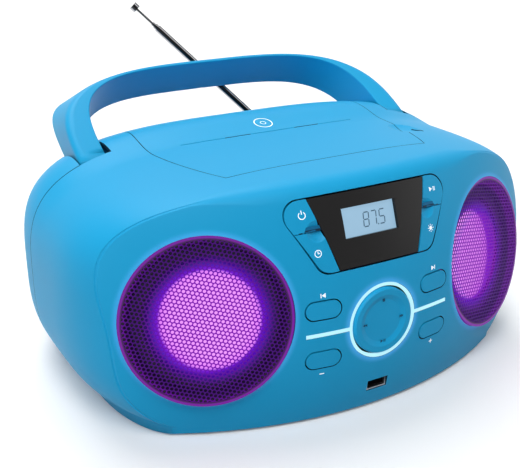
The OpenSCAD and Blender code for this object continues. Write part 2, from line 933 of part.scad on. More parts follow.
// Thumb dent across the split, at the panel's end
dent_r = 5;
dent_d = 1.1;
dent_u = panel_edge(split_v) + dent_r - 0.5;
dent_sphere = (dent_r * dent_r + dent_d * dent_d) / (2 * dent_d);
module cluster_button(side, upper) {
    u = upper ? high_key_u : low_key_u;
    far = 4 * cluster_top_w;
    color(body_blue) {
        intersection() {
            difference() {
                fascia_layer(-proud, cap_t);
                at_fascia(0, cluster_h)
                    translate([side * dent_u, split_v, dent_sphere - dent_d - dip(dent_u, cluster_h)])
                        sphere(r = dent_sphere);
            }
            at_fascia(0, cluster_h)
                through(cluster_in)
                    difference() {
                        rounded_trapezoid(cluster_top_w, cluster_low_w, cluster_half_h, cluster_r);
                        panel_outline(-key_gap);
                        translate([-side * far / 2, 0])
                            square(far, center = true);
                        translate([0, split_v + (upper ? -1 : 1) * (far - key_gap) / 2])
                            square(far, center = true);
                    }
        }
        at_fascia(0, cluster_h)
            translate([side * u, key_v(upper), -dip(u, cluster_h)])
                plunger();
    }
}

// Plunger from inside a cap down to just over its switch
proud = 0.3;
module plunger() {
    bite = 0.6;
    translate([0, 0, -plunger_end])
        cylinder(r = plunger_r, h = plunger_end - cap_t + bite);
}

display_board_w = 96;
display_board_l = 34;
module display_board() {
    color(board_green)
        at_fascia(0, cluster_h) {
            translate([-display_board_w / 2, -display_board_l / 2, -display_board_depth - board_t])
                cube([display_board_w, display_board_l, board_t]);
            for (s = [-1, 1])
                for (upper = [true, false]) {
                    u = upper ? high_key_u : low_key_u;
                    top = plunger_end + dip(u, cluster_h) + press + switch_gap;
                    translate([s * u, key_v(upper), -display_board_depth - board_t / 2])
                        cylinder(r = switch_r, h = display_board_depth + board_t / 2 - top);
                }
        }
}

module pill_button(side, z) {
    color(body_blue) {
        intersection() {
            fascia_layer(-proud, cap_t);
            at_fascia(side * pill_x, z)
                through(tool_in)
                    oval(pill_w, pill_h);
        }
        at_fascia(side * pill_x, z)
            plunger();
    }
}

guide_flange = 2;
guide_t = 2;
module ring_light_guide() {
    color(white_clear) {
        intersection() {
            fascia_layer(-proud, wall);
            at_fascia(0, ring_h)
                through(cluster_in)
                    difference() {
                        light_outline(0);
                        circle(r = ring_r - ring_w / 2);
                    }
        }
        intersection() {
            fascia_layer(wall, wall + guide_t);
            at_fascia(0, ring_h)
                through(cluster_in)
                    difference() {
                        light_outline(guide_flange);
                        circle(r = ring_r - ring_w / 2);
                    }
        }
    }
}

nav_dish_r = 15.4;
nav_dish_d = 0.9;
nav_plunger_r = 4;
module nav_pad() {
    r = ring_r - ring_w / 2 - key_gap;
    bevel = 0.8;
    color(body_blue)
        at_fascia(0, ring_h)
            rotate_extrude()
                polygon([
                    [0, -plunger_end],
                    [0, -nav_dish_d],
                    [nav_dish_r - 3, -nav_dish_d],
                    [nav_dish_r, proud],
                    [r - bevel, proud],
                    [r, proud - bevel],
                    [r, -cap_t],
                    [nav_plunger_r, -cap_t],
                    [nav_plunger_r, -plunger_end]
                ]);
}

// Key board behind the pad and the oval buttons, held off the fascia by four posts
key_board_half_w = 43;
key_post_x = 18;
key_board_depth = 15;
module key_board() {
    low = pill_low - ring_h - 8;
    high = pill_high - ring_h + 8;
    post_r = 2.2;
    color(board_green) {
        at_fascia(0, ring_h) {
            translate([-key_board_half_w, low, -key_board_depth - board_t])
                cube([2 * key_board_half_w, high - low, board_t]);
            translate([0, 0, -key_board_depth - board_t / 2])
                cylinder(
                    r = nav_plunger_r,
                    h = key_board_depth + board_t / 2 - plunger_end - press - switch_gap
                );
        }
        for (s = [-1, 1])
            for (z = [pill_high, pill_low])
                intersection() {
                    at_fascia(s * pill_x, z)
                        translate([0, 0, -plunger_end - press - switch_gap - cluster_in])
                            cylinder(r = switch_r, h = cluster_in);
                    at_fascia(0, ring_h)
                        translate([-body_w / 2, -body_w / 2, -key_board_depth - board_t / 2])
                            cube([body_w, body_w, body_w]);
                }
        intersection() {
            fascia(wall + slip / 2);
            at_fascia(0, ring_h)
                for (s = [-1, 1])
                    for (v = [low + post_r, high - post_r])
                        translate([s * key_post_x, v, -key_board_depth - board_t / 2])
                            cylinder(r = post_r, h = key_board_depth + tool_out);
        }
    }
}

// USB socket: a folded metal shell with its contact tongue
usb_shell_w = 13.1;
usb_shell_h = 5.7;
usb_shell_t = 0.3;
usb_depth = 14;
usb_back = 3.5;
usb_tongue = [11, 1.8, 8.5];
module at_usb() {
    translate([0, fascia_y(0, usb_h), usb_h])
        rotate([90, 0, 0])
            children();
}

module usb_socket() {
    hollow = [usb_shell_w - 2 * usb_shell_t, usb_shell_h - 2 * usb_shell_t];
    color(steel_grey)
        at_usb()
            translate([0, 0, -usb_back - usb_depth]) {
                difference() {
                    linear_extrude(usb_depth)
                        square([usb_shell_w, usb_shell_h], center = true);
                    translate([0, 0, over])
                        linear_extrude(usb_depth)
                            square(hollow, center = true);
                }
                translate([-usb_tongue[0] / 2, 0.4, over / 2])
                    cube(usb_tongue);
            }
}

// Boards and power pieces on the cabinet floor
floor_h = foot_h + wall;
board_top = usb_h - usb_shell_h / 2;
main_board_w = 120;
main_board_d = 84;
main_board_y = -44;
main_post_r = 3;
main_post_in = 6;
chip_w = 14;
chip_t = 2;
chip_x = 10;
chip_y = -10;
can_r = 4;
can_h = 12;
can_x = 40;
can_y = 20;
module main_board() {
    color(board_green)
        translate([0, main_board_y, 0]) {
            translate([-main_board_w / 2, -main_board_d / 2, board_top - board_t])
                cube([main_board_w, main_board_d, board_t]);
            for (x = [-1, 1] * (main_board_w / 2 - main_post_in))
                for (y = [-1, 1] * (main_board_d / 2 - main_post_in))
                    translate([x, y, floor_h])
                        cylinder(r = main_post_r, h = board_top - board_t - floor_h);
            translate([chip_x, chip_y, board_top])
                cube([chip_w, chip_w, chip_t]);
            for (x = [-can_x, 3 * can_r - can_x, can_x])
                translate([x, can_y, board_top])
                    cylinder(r = can_r, h = can_h);
        }
}

core_w = 46;
core_d = 38;
core_h = 40;
core_x = 70;
core_y = 40;
coil_w = 32;
coil_t = 7;
coil_h = 26;
module transformer() {
    color(steel_grey)
        translate([core_x, core_y, floor_h]) {
            translate([-core_w / 2, -core_d / 2, 0])
                cube([core_w, core_d, core_h]);
            for (s = [-1, 1])
                translate([-coil_w / 2, s * (core_d + coil_t) / 2 - coil_t / 2, (core_h - coil_h) / 2])
                    cube([coil_w, coil_t, coil_h]);
        }
}

// Mains inlet: a two-pin oval socket in the rear wall
inlet_x = 48;
inlet_h = 30;
inlet_w = 22;
inlet_t = 14;
inlet_set = 0.6;
inlet_y = rear_face - inlet_set;
module mains_tool(grow) {
    translate([inlet_x, inlet_y + over, inlet_h])
        rotate([90, 0, 0])
            translate([0, 0, -inlet_w])
                linear_extrude(2 * inlet_w)
                    oval(inlet_w + 2 * grow, inlet_t + 2 * grow);
}

module mains_inlet() {
    depth = 16;
    pocket = [16.2, 8.6];
    pin_gap = 8.5;
    color(dark_grey) {
        difference() {
            translate([inlet_x, inlet_y, inlet_h])
                rotate([90, 0, 0])
                    linear_extrude(depth)
                        oval(inlet_w, inlet_t);
            translate([inlet_x, inlet_y + over, inlet_h])
                rotate([90, 0, 0])
                    linear_extrude(depth - 4)
                        oval(pocket[0], pocket[1]);
        }
        for (s = [-1, 1])
            translate([inlet_x + s * pin_gap / 2, inlet_y - 2, inlet_h])
                rotate([90, 0, 0])
                    cylinder(d = 2.4, h = depth - 4);
    }
}

// Battery bay: an open tray of five walls, a curved door and its spring contacts
module battery_box() {
    color(body_blue)
        intersection() {
            difference() {
                translate([bay_x - bay_w / 2 - bay_wall, bay_front, bay_low - bay_wall])
                    cube([bay_w + 2 * bay_wall, body_half_d - bay_front, bay_h + 2 * bay_wall]);
                translate([bay_x - bay_w / 2, bay_front + bay_wall, bay_low])
                    cube([bay_w, body_half_d, bay_h]);
                door_bar(door_pin_r + running, door_pin_out);
            }
            loft(rear_inner_depths, wall);
        }
}

module battery_door() {
    color(body_blue) {
        intersection() {
            difference() {
                loft(rear_depths, 0);
                loft(rear_inner_depths, wall);
            }
            translate([bay_x - bay_w / 2 + door_gap, seam_y + 2 * bay_wall, bay_low + door_gap])
                cube([bay_w - 2 * door_gap, body_half_d, bay_h - 2 * door_gap]);
            union() {
                translate([-body_w, 0, door_axis_h])
                    cube(2 * body_w);
                door_bar(door_round, 0);
            }
        }
        for (s = [-1, 1])
            translate([bay_x + s * (bay_w / 2 - door_pin_out), door_axis_y, door_axis_h])
                rotate([0, s * 90, 0])
                    cylinder(r = door_pin_r, h = 2 * door_pin_out - slip);
    }
}

module battery_contacts() {
    pad = 14;
    pad_t = 0.6;
    color(steel_grey)
        for (x = [-1, 1] * bay_w / 4)
            for (z = [1, 3] * bay_h / 4)
                translate([bay_x + x - pad / 2, bay_front + bay_wall, bay_low + z - pad / 2])
                    cube([pad, pad_t, pad]);
}

// Disc drive under the well
chassis_h = well_h - chassis_drop;
chassis_half_w = 34;
chassis_back = 24;
rod_r = 1.5;
rod_x = 20;
rod_lift = 5;
rod_h = chassis_h + plate_t + rod_lift;
rod_near = 12;
rod_past = 8;
rod_far = well_r + rod_past;
pickup_w = 15;
pickup_d = 14;
lens_start = 30;
// Room beside the pickup in its slot, and the floor left at the slot's end
pickup_room = 1;
slot_edge = 1.5;
lug = [6, 3, 8];
post_r = 4;
module cd_chassis() {
    color([0.3, 0.3, 0.32])
        translate([0, disc_y, 0])
            difference() {
                union() {
                    translate([-chassis_half_w, -rod_far - lug[1], chassis_h])
                        cube([2 * chassis_half_w, rod_far + lug[1] + chassis_back, plate_t]);
                    for (x = [-1, 1])
                        for (y = [-well_r / 2, chassis_back - post_r])
                            translate([x * (chassis_half_w - post_r), y, chassis_h])
                                cylinder(r = post_r, h = well_h - plate_t - chassis_h);
                    for (x = [-1, 1])
                        for (y = [-rod_far - lug[1], -rod_near])
                            translate([x * rod_x - lug[0] / 2, y, chassis_h + plate_t])
                                cube(lug);
                }
                cylinder(r = post_r, h = body_top);
                for (x = [-1, 1])
                    translate([x * rod_x, -rod_far - lug[1] - over, rod_h])
                        rotate([-90, 0, 0])
                            cylinder(r = rod_r + slip / 2, h = rod_far);
            }
}

module guide_rods() {
    color(steel_grey)
        for (x = [-1, 1])
            translate([x * rod_x, disc_y - rod_far - lug[1], rod_h])
                rotate([-90, 0, 0])
                    cylinder(r = rod_r, h = rod_far - rod_near + 2 * lug[1]);
}

spindle_r = 1;
spindle_can_r = 12;
spindle_can_h = 12;
spindle_top = 5;
module spindle_motor() {
    color(steel_grey)
        translate([0, disc_y, 0]) {
            translate([0, 0, chassis_h - spindle_can_h])
                cylinder(r = spindle_can_r, h = spindle_can_h);
            translate([0, 0, chassis_h])
                cylinder(r = spindle_r, h = well_h - chassis_h + spindle_top);
        }
}

// Turntable: heights count from the floor of the well
platter_gap = 0.7;
platter_t = 2;
hub_h = 7.5;
hub_taper = 1.5;
hub_in = 2;
hub_draft = 1;
hub_foot = 4;
shaft_gap = 0.2;
module turntable() {
    under = well_h + platter_gap;
    foot = chassis_h + plate_t + hub_foot;
    bore = well_h + spindle_top + shaft_gap;
    color(dark_grey)
        translate([0, disc_y, 0])
            rotate_extrude()
                polygon([
                    [spindle_r + running, foot],
                    [spindle_r + running, bore],
                    [0, bore],
                    [0, well_h + hub_h],
                    [hub_r - hub_taper, well_h + hub_h],
                    [hub_r, well_h + spindle_top],
                    [hub_r, under + platter_t],
                    [platter_r, under + platter_t],
                    [platter_r, under],
                    [hub_r - hub_in, under],
                    [hub_r - hub_in - hub_draft, foot]
                ]);
}

pickup_bar_h = 6.4;
lens_r = 4;
module pickup() {
    color([0.2, 0.2, 0.24])
        translate([0, disc_y - lens_start, 0])
            difference() {
                union() {
                    translate([-rod_x - lens_r, -pickup_d / 2, rod_h - pickup_bar_h / 2])
                        cube([2 * (rod_x + lens_r), pickup_d, pickup_bar_h]);
                    translate([-pickup_w / 2, 1 - pickup_d / 2, rod_h])
                        cube([pickup_w, pickup_d - 2, well_h - plate_t - rod_h - 0.5]);
                    translate([0, 0, rod_h])
                        cylinder(r = lens_r, h = well_h - rod_h - 0.5);
                }
                for (x = [-1, 1])
                    translate([x * rod_x, -pickup_d, rod_h])
                        rotate([-90, 0, 0])
                            cylinder(r = rod_r + running, h = 2 * pickup_d);
            }
}

// Aerial: a fixed socket, a turning fork with its cross pin, and telescopic tubes
fork_gap = 3.2;
cheek_t = 1.8;
fork_r = 4.5;
fork_base = 1.5;
stub_r = 2;
stub_len = 6;
cross_r = 1.1;
socket_r = 7;
socket_len = 9;
tang_len = 7;
module aerial_bore(r, length) {
    translate([aerial_x, aerial_y - fork_r - 0.3, aerial_h])
        rotate([90, 0, 0])
            cylinder(r = r, h = length);
}

module aerial_socket() {
    color(dark_grey)
        difference() {
            aerial_bore(socket_r, socket_len);
            translate([0, over, 0])
                aerial_bore(stub_r + running, over + stub_len);
        }
}

module aerial_knuckle() {
    color(steel_grey)
        at_fork() {
            rotate([90, 0, 0]) {
                translate([0, 0, fork_r - fork_base])
                    cylinder(r = fork_gap / 2 + cheek_t + 1.5, h = fork_base);
                translate([0, 0, fork_r - fork_base])
                    cylinder(r = stub_r, h = fork_base + stub_len);
            }
            for (s = [-1, 1])
                translate([s > 0 ? fork_gap / 2 : -fork_gap / 2 - cheek_t, -fork_r, -aerial_d / 2])
                    cube([cheek_t, fork_r + aerial_d / 2, aerial_d]);
            translate([-fork_gap / 2 - cheek_t, 0, 0])
                rotate([0, 90, 0])
                    cylinder(r = cross_r, h = fork_gap + 2 * cheek_t);
        }
}

// Tubes end in a ring of ever smaller bores; each holds back a little of the next
tube_floor = 6;
tube_start = 3;
module aerial_tube(k) {
    from = k == 1 ? tang_len : tang_len + tube_floor + (k - 1) * tube_start;
    to = aerial_len + (k - 1) * aerial_peep;
    translate([0, 0, from])
        difference() {
            cylinder(d = tube_d(k), h = to - from);
            translate([0, 0, tube_start])
                cylinder(d = tube_d(k + 1) + 2 * running, h = aerial_len);
        }
}

module aerial_tube_1() {
    tang_t = fork_gap - 2 * slip;
    color(steel_grey)
        at_aerial() {
            aerial_tube(1);
            difference() {
                union() {
                    translate([-tang_t / 2, 0, 0])
                        rotate([0, 90, 0])
                            cylinder(d = aerial_d, h = tang_t);
                    translate([-tang_t / 2, -aerial_d / 2 + slip, 0])
                        cube([tang_t, aerial_d - 2 * slip, tang_len + tube_start / 2]);
                }
                translate([-tang_t, 0, 0])
                    rotate([0, 90, 0])
                        cylinder(r = cross_r + running, h = 2 * tang_t);
            }
        }
}

module aerial_tube_2() {
    color(steel_grey)
        at_aerial()
            aerial_tube(2);
}

module aerial_tube_3() {
    color(steel_grey)
        at_aerial()
            aerial_tube(3);
}

module aerial_tip() {
    top = aerial_len + 2 * aerial_peep + tip_out;
    from = tang_len + tube_floor + 3 * tube_start;
    color(steel_grey)
        at_aerial() {
            translate([0, 0, from])
                cylinder(d = aerial_tip_d, h = top - from);
            translate([0, 0, top])
                cylinder(d = cap_d, h = cap_len);
        }
}

// Feet and screws
foot_r = 8;
foot_x = 105;
foot_y = 55;
module feet() {
    color(dark_grey)
        for (x = [-1, 1])
            for (y = [-1, 1])
                translate([x * foot_x, y * foot_y, 0])
                    cylinder(r1 = foot_r - 0.5, r2 = foot_r, h = foot_h);
}

screw_x = 80;
screw_y = 62;
screw_r = 3;
screw_t = 0.8;
module cabinet_screws() {
    color(steel_grey)
        for (x = [-1, 1])
            for (y = [-1, 1])
                translate([x * screw_x, y * screw_y, foot_h - screw_t])
                    cylinder(r = screw_r, h = screw_t);
}

front_cabinet();
rear_cabinet();
lid();
lid_hinge_pins();
cd_well();
handle();
handle_pivots();
grille(-1);  // left_grille
grille(1);  // right_grille
light_ring(-1);  // left_light_ring
light_ring(1);  // right_light_ring
speaker_frame(-1);  // left_speaker_frame
speaker_frame(1);  // right_speaker_frame
cone(-1);  // left_cone
cone(1);  // right_cone
magnet(-1);  // left_magnet
magnet(1);  // right_magnet
display_window();
lcd_module();
ring_light_guide();
nav_pad();
cluster_button(-1, true);  // power_button
cluster_button(-1, false);  // clock_button
cluster_button(1, true);  // source_button
cluster_button(1, false);  // light_button
pill_button(-1, pill_high);  // preset_down_button
pill_button(1, pill_high);  // preset_up_button
pill_button(-1, pill_low);  // volume_down_button
pill_button(1, pill_low);  // volume_up_button
display_board();
key_board();
usb_socket();
main_board();
transformer();
mains_inlet();
battery_box();
battery_door();
battery_contacts();
cd_chassis();
spindle_motor();
turntable();
pickup();
guide_rods();
aerial_socket();
aerial_knuckle();
aerial_tube_1();
aerial_tube_2();
aerial_tube_3();
aerial_tip();
feet();
cabinet_screws();
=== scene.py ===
"""Looks of the portable CD player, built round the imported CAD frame. Lengths in millimetres until meshes are made."""

import math

import bpy
import bmesh
import numpy as np
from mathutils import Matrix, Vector
from mathutils.bvhtree import BVHTree


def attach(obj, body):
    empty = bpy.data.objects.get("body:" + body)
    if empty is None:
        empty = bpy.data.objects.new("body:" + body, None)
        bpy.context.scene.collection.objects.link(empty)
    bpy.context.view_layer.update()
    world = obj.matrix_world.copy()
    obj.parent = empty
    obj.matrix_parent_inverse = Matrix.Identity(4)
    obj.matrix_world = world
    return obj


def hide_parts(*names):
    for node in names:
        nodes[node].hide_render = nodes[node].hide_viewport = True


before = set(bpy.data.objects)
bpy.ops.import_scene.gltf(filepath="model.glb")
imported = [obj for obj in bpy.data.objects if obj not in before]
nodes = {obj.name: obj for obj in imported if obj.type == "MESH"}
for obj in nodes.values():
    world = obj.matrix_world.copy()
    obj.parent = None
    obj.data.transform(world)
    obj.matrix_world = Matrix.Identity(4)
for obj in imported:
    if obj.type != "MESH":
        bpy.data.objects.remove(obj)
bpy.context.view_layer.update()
MM = 0.001
X, Y, Z = np.eye(3)
SIDES = ((-1, "left"), (1, "right"))

# Cabinet form: the curves of the CAD, with a lip over the foot that stands out more, as in the photo

BODY_W, HALF_D, TOP, MID, DROP = 313.0, 108.0, 138.0, 66.0, 78.5
UPPER_EXP, LOWER_EXP, PLAN_EXP, REAR_EXP = 3.4, 3.3, 2.6, 4.0
FRONT_REACH, FRONT_EXP, BACK_REACH, BACK_EXP = 112, 8, 110, 3
RIDGE, RIDGE_START, RIDGE_FULL = 8.0, 15.0, 55.0
WALL, FOOT, SEAM = 2.5, 1.5, 35.0
LIP, LIP_LOW, LIP_EDGE, LIP_STEP, SKIRT, SLOPE = 11.0, 1.0, 0.4, 0.6, 3.4, 1.5
LIP_END, LIP_START = -84.0, -56.0
REAR_END, REAR_ROUND, REAR_STEPS = 0.985, 2.5, 5
AXIS_Y, PLAN_R, SIDE_R, BULGE = 146.3, 250.0, 180.0, 50.0
SPEAKER_X, SPEAKER_Z, SPEAKER_SET = 96.8, 70.1, 5
SPEAKER_YAW, SPEAKER_TILT = math.radians(21.7), math.radians(9.2)
PANEL_Z, RING_Z = 112, 58


def smoothstep(a, b, v):
    c = np.clip((v - a) / (b - a), 0, 1)
    return c * c * (3 - 2 * c)


def half_width(y):
    """Half of the cabinet's width at depth y."""
    e = np.where(np.asarray(y) < 0, PLAN_EXP, REAR_EXP)
    return BODY_W / 2 * (1 - np.abs(y / HALF_D) ** e) ** (1 / e)


def top_half(y):
    """Height of the deck over MID at depth y, along the middle."""
    share_front = (1 - (np.minimum(y, 0) / FRONT_REACH) ** FRONT_EXP) ** (1 / FRONT_EXP)
    share_back = (1 - (np.maximum(y, 0) / BACK_REACH) ** BACK_EXP) ** (1 / BACK_EXP)
    return (TOP - MID + RIDGE * smoothstep(RIDGE_START, RIDGE_FULL, y)) * share_front * share_back


def deck_z(x, y):
    """Height of the deck."""
    return MID + top_half(y) * (1 - (abs(x) / half_width(y)) ** UPPER_EXP) ** (1 / UPPER_EXP)


def fascia_radius(z, depth=0.0):
    return PLAN_R - SIDE_R + np.sqrt((SIDE_R - depth) ** 2 - (z - BULGE) ** 2)


def fascia_y(x, z, depth=0.0):
    """Depth at which the fascia lies, or a surface that runs behind it."""
    return AXIS_Y - np.sqrt(fascia_radius(z, depth) ** 2 - x**2)


# Frames are (origin, right, up, outward)

def facing(at, yaw, pitch):
    """Frame at a point, turned by two angles from facing the front."""
    out = np.array([math.sin(yaw) * math.cos(pitch), -math.cos(yaw) * math.cos(pitch), math.sin(pitch)])
    right = np.array([math.cos(yaw), math.sin(yaw), 0])
    return np.array(at), right, np.cross(out, right), out


def square_frame(at, right, up):
    """Frame on two vectors that are square to each other."""
    return np.array(at, float), right, up, np.cross(right, up)


def fascia_frame(x, z):
    """Frame on the fascia, square to its surface."""
    yaw, pitch = math.asin(x / float(fascia_radius(z))), math.asin((z - BULGE) / SIDE_R)
    return facing((x, float(fascia_y(x, z)), z), yaw, pitch)


def speaker_frame(side):
    at = (side * SPEAKER_X, float(fascia_y(SPEAKER_X, SPEAKER_Z)) + SPEAKER_SET, SPEAKER_Z)
    return facing(at, side * SPEAKER_YAW, SPEAKER_TILT)


def moved(at, across, upward):
    """Frame moved along its own right and up vectors."""
    return (at[0] + across * at[1] + upward * at[2],) + at[1:]


def on_fascia(at, u, v, lift):
    """Point of the fascia in front of (u, v) of a frame, raised by lift."""
    o, right, up, out = at
    p = o + u * right + v * up
    # A few steps along the outward vector bring the point onto the curve
    for _ in range(6):
        p = p + (float(fascia_y(p[0], p[2])) - p[1]) / out[1] * out
    return p + lift * out


speaker_at = {name: speaker_frame(side) for side, name in SIDES}
panel_at = fascia_frame(0, PANEL_Z)
ring_at = fascia_frame(0, RING_Z)


# Mesh helpers

def mesh_from(name, verts, faces, material=None, smooth=True):
    data = bpy.data.meshes.new(name)
    data.from_pydata([tuple(v) for v in np.asarray(verts, float) * MM], [], [tuple(f) for f in faces])
    data.validate()
    data.update()
    obj = bpy.data.objects.new(name, data)
    bpy.context.scene.collection.objects.link(obj)
    if material:
        data.materials.append(material)
    data.polygons.foreach_set("use_smooth", [smooth] * len(data.polygons))
    return obj


def outward(obj):
    bm = bmesh.new()
    bm.from_mesh(obj.data)
    bmesh.ops.recalc_face_normals(bm, faces=bm.faces)
    bm.to_mesh(obj.data)
    bm.free()
    return obj


def extruded(name, low_ring, high_ring):
    """Closed solid between two rings of points."""
    n = len(low_ring)
    faces = [tuple(range(n))[::-1], tuple(range(n, 2 * n))]
    faces += [(i, (i + 1) % n, n + (i + 1) % n, n + i) for i in range(n)]
    return outward(mesh_from(name, low_ring + high_ring, faces, smooth=False))


def prism(name, outline, low, high, at=None):
    """Closed outline (list of (u, v)) pushed from low to high along the frame's outward vector, or along Z."""
    o, right, up, out = at or square_frame((0, 0, 0), X, Y)
    ring = [o + u * right + v * up for u, v in outline]
    return extruded(name, [p + low * out for p in ring], [p + high * out for p in ring])


def fascia_layer(name, outline, low, high, at):
    """Closed outline pushed through the fascia, both ends following its curve."""
    return extruded(name, *([on_fascia(at, u, v, lift) for u, v in outline] for lift in (low, high)))


def sweep(name, rings):
    """Tube through rings of points, with its ends closed."""
    n = len(rings[0])
    verts = np.concatenate(rings)
    faces = []
    for j in range(len(rings) - 1):
        for i in range(n):
            faces.append((j * n + i, j * n + (i + 1) % n, (j + 1) * n + (i + 1) % n, (j + 1) * n + i))
    faces += [tuple(range(n))[::-1], tuple(range(len(verts) - n, len(verts)))]
    return outward(mesh_from(name, verts, faces))


def lathe(name, profile, at, n=128):
    """Closed profile of (radius, height) turned about the frame's outward vector."""
    o, right, up, out = at
    m = len(profile)
    verts, faces = [], []
    for i in range(n):
        a = 2 * math.pi * i / n
        ray = math.cos(a) * right + math.sin(a) * up
        verts += [o + r * ray + h * out for r, h in profile]
        p, q = i * m, (i + 1) % n * m
        faces += [(p + k, p + (k + 1) % m, q + (k + 1) % m, q + k) for k in range(m)]
    return outward(mesh_from(name, verts, faces, smooth=False))


def sphere(name, centre, r, rings=64):
    n = rings * 2
    verts, faces = [centre + r * Z], []
    for j in range(1, rings):
        a = math.pi * j / rings
        for i in range(n):
            b = math.pi * i / rings
            ray = np.array([math.sin(a) * math.cos(b), math.sin(a) * math.sin(b), math.cos(a)])
            verts.append(centre + r * ray)
    verts.append(centre - r * Z)
    for i in range(n):
        faces.append((0, 1 + i, 1 + (i + 1) % n))
        for j in range(rings - 2):
            p = 1 + j * n
            faces.append((p + i, p + n + i, p + n + (i + 1) % n, p + (i + 1) % n))
        p = 1 + (rings - 2) * n
        faces.append((p + i, len(verts) - 1, p + (i + 1) % n))
    return outward(mesh_from(name, verts, faces))


def boolean(obj, other, operation, keep=False):
    mod = obj.modifiers.new("cut", "BOOLEAN")
    mod.operation = operation
    mod.solver = "MANIFOLD"
    mod.object = other
    graph = bpy.context.evaluated_depsgraph_get()
    data = bpy.data.meshes.new_from_object(obj.evaluated_get(graph))
    obj.modifiers.clear()
    old = obj.data
    obj.data = data
    bpy.data.meshes.remove(old)
    if not keep:
        bpy.data.objects.remove(other)
    return obj


def cut(obj, outline, low, high, at=None):
    """Takes a prism out of an object."""
    return boolean(obj, prism("cutter", outline, low, high, at), "DIFFERENCE")


def duplicate(obj, name):
    new = bpy.data.objects.new(name, obj.data.copy())
    bpy.context.scene.collection.objects.link(new)
    return new


def dress(obj, name, mats, body, replaced=()):
    """Names a piece, gives it its materials, and sets it on its body in place of CAD nodes."""
    index = [p.material_index for p in obj.data.polygons]
    obj.data.materials.clear()
    for mat in mats:
        obj.data.materials.append(mat)
    obj.data.polygons.foreach_set("material_index", [min(i, len(mats) - 1) for i in index])
    obj.name = name
    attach(obj, body)
    if replaced:
        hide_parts(*replaced)
    return obj


# Outlines

def rectangle(x0, y0, x1, y1):
    return [(x0, y0), (x1, y0), (x1, y1), (x0, y1)]


def block(cx, cy, w, h):
    return rectangle(cx - w / 2, cy - h / 2, cx + w / 2, cy + h / 2)


def circle(r, n=96):
    return [(r * math.cos(2 * math.pi * i / n), r * math.sin(2 * math.pi * i / n)) for i in range(n)]


def oval(w, h, n=24):
    pts = []
    for s, start in ((1, -90), (-1, 90)):
        for i in range(n + 1):
            a = math.radians(start + 180 * i / n)
            pts.append((s * (w - h) / 2 + h / 2 * math.cos(a), h / 2 * math.sin(a)))
    return pts


def rounded_trapezoid(top_w, low_w, half_h, r, n=14):
    """Convex outline round four corner circles."""
    pts = []
    side = 90 - math.degrees(math.atan2(2 * half_h - 2 * r, top_w - low_w))
    for cx, cy, a0, a1 in (
        (top_w - r, half_h - r, -side, 90),
        (r - top_w, half_h - r, 90, 180 + side),
        (r - low_w, r - half_h, 180 + side, 270),
        (low_w - r, r - half_h, 270, 360 - side),
    ):
        for i in range(n + 1):
            a = math.radians(a0 + (a1 - a0) * i / n)
            pts.append((cx + r * math.cos(a), cy + r * math.sin(a)))
    return pts


def band(cx, cy, r0, r1, a0=0.0, a1=360.0, n=24):
    """Ring or arc, as a list of short outlines."""
    out = []
    for i in range(n):
        a, b = (math.radians(a0 + (a1 - a0) * k / n) for k in (i, i + 1))
        out.append([(cx + r * math.cos(t), cy + r * math.sin(t)) for r, t in ((r0, a), (r1, a), (r1, b), (r0, b))])
    return out


def arrow(cx, cy, size, way):
    return [(cx - way * size / 2, cy - size * 0.6), (cx + way * size / 2, cy), (cx - way * size / 2, cy + size * 0.6)]


# Cabinet surface: columns run round the section, rows run from the middle of the fascia to the back

# There are CURVE + 1 columns on the curve, one under each lip, and EXTRA_BASE between the two ends of the base
CURVE, EXTRA_BASE = 168, 30
COLS = CURVE + 1 + 2 + EXTRA_BASE + 2
# Rows on the fascia, round its edge and along the sides, and the shares of the radius for those on the back
FINE_ROWS, PLAIN_ROWS, HUB_SHARES = (46, 9, 64), (16, 2, 20), (0.9, 0.6, 0.3)
CREASE_FRONT, CREASE_BACK = -105.0, -40.0
FASCIA_POLE, REAR_HUB = 58.0, 55.0
# The fascia edge is rounded softly along the top; these ranges of x and z give where
EDGE_CRISP, EDGE_SOFT, EDGE_PLAIN = 1.1, 8.0, 0.6
SOFT_X, SOFT_Z = (100, 66), (100, 125)
# Depth and direction of the fine line along the edge at the sides, and where it runs
EDGE_LINE, LINE_IN, LINE_BACK = 0.6, 0.6, 0.8
LINE_X, LINE_Z = (60, 96), (2, 14)


def section(y, inset):
    """Points (x, z) of every column at depth y (y has one value per column)."""
    a = half_width(y) - inset
    up = top_half(y) - inset
    low = DROP - inset
    # The lip over the foot runs out towards the fascia
    fade = smoothstep(LIP_END, LIP_START, y)
    lip_low = FOOT + inset + LIP_LOW
    lip = lip_low + (LIP - lip_low) * fade
    lip_sine = ((MID - lip) / low) ** LOWER_EXP
    lip_t = -np.arcsin(np.sqrt(lip_sine))
    cols = CURVE + 1
    t = lip_t[:cols] + (math.pi - 2 * lip_t[:cols]) * np.linspace(0, 1, cols)
    ca, sa = np.cos(t), np.sin(t)
    x, z = np.empty(COLS), np.empty(COLS)
    power = 2 / np.where(sa > 0, UPPER_EXP, LOWER_EXP)
    x[:cols] = a[:cols] * np.sign(ca) * np.abs(ca) ** power
    z[:cols] = MID + np.where(sa > 0, up[:cols], low) * np.sign(sa) * np.abs(sa) ** power
    tail = a * (1 - lip_sine) ** (1 / LOWER_EXP) - SKIRT * fade
    under = lip - LIP_EDGE - LIP_STEP * fade
    x[cols], z[cols] = -tail[cols], under[cols]
    base = slice(cols + 1, -1)
    x[base] = np.linspace(-1, 1, EXTRA_BASE + 2) * (tail - SLOPE * fade)[base]
    z[base] = FOOT + inset
    x[-1], z[-1] = tail[-1], under[-1]
    return x, z


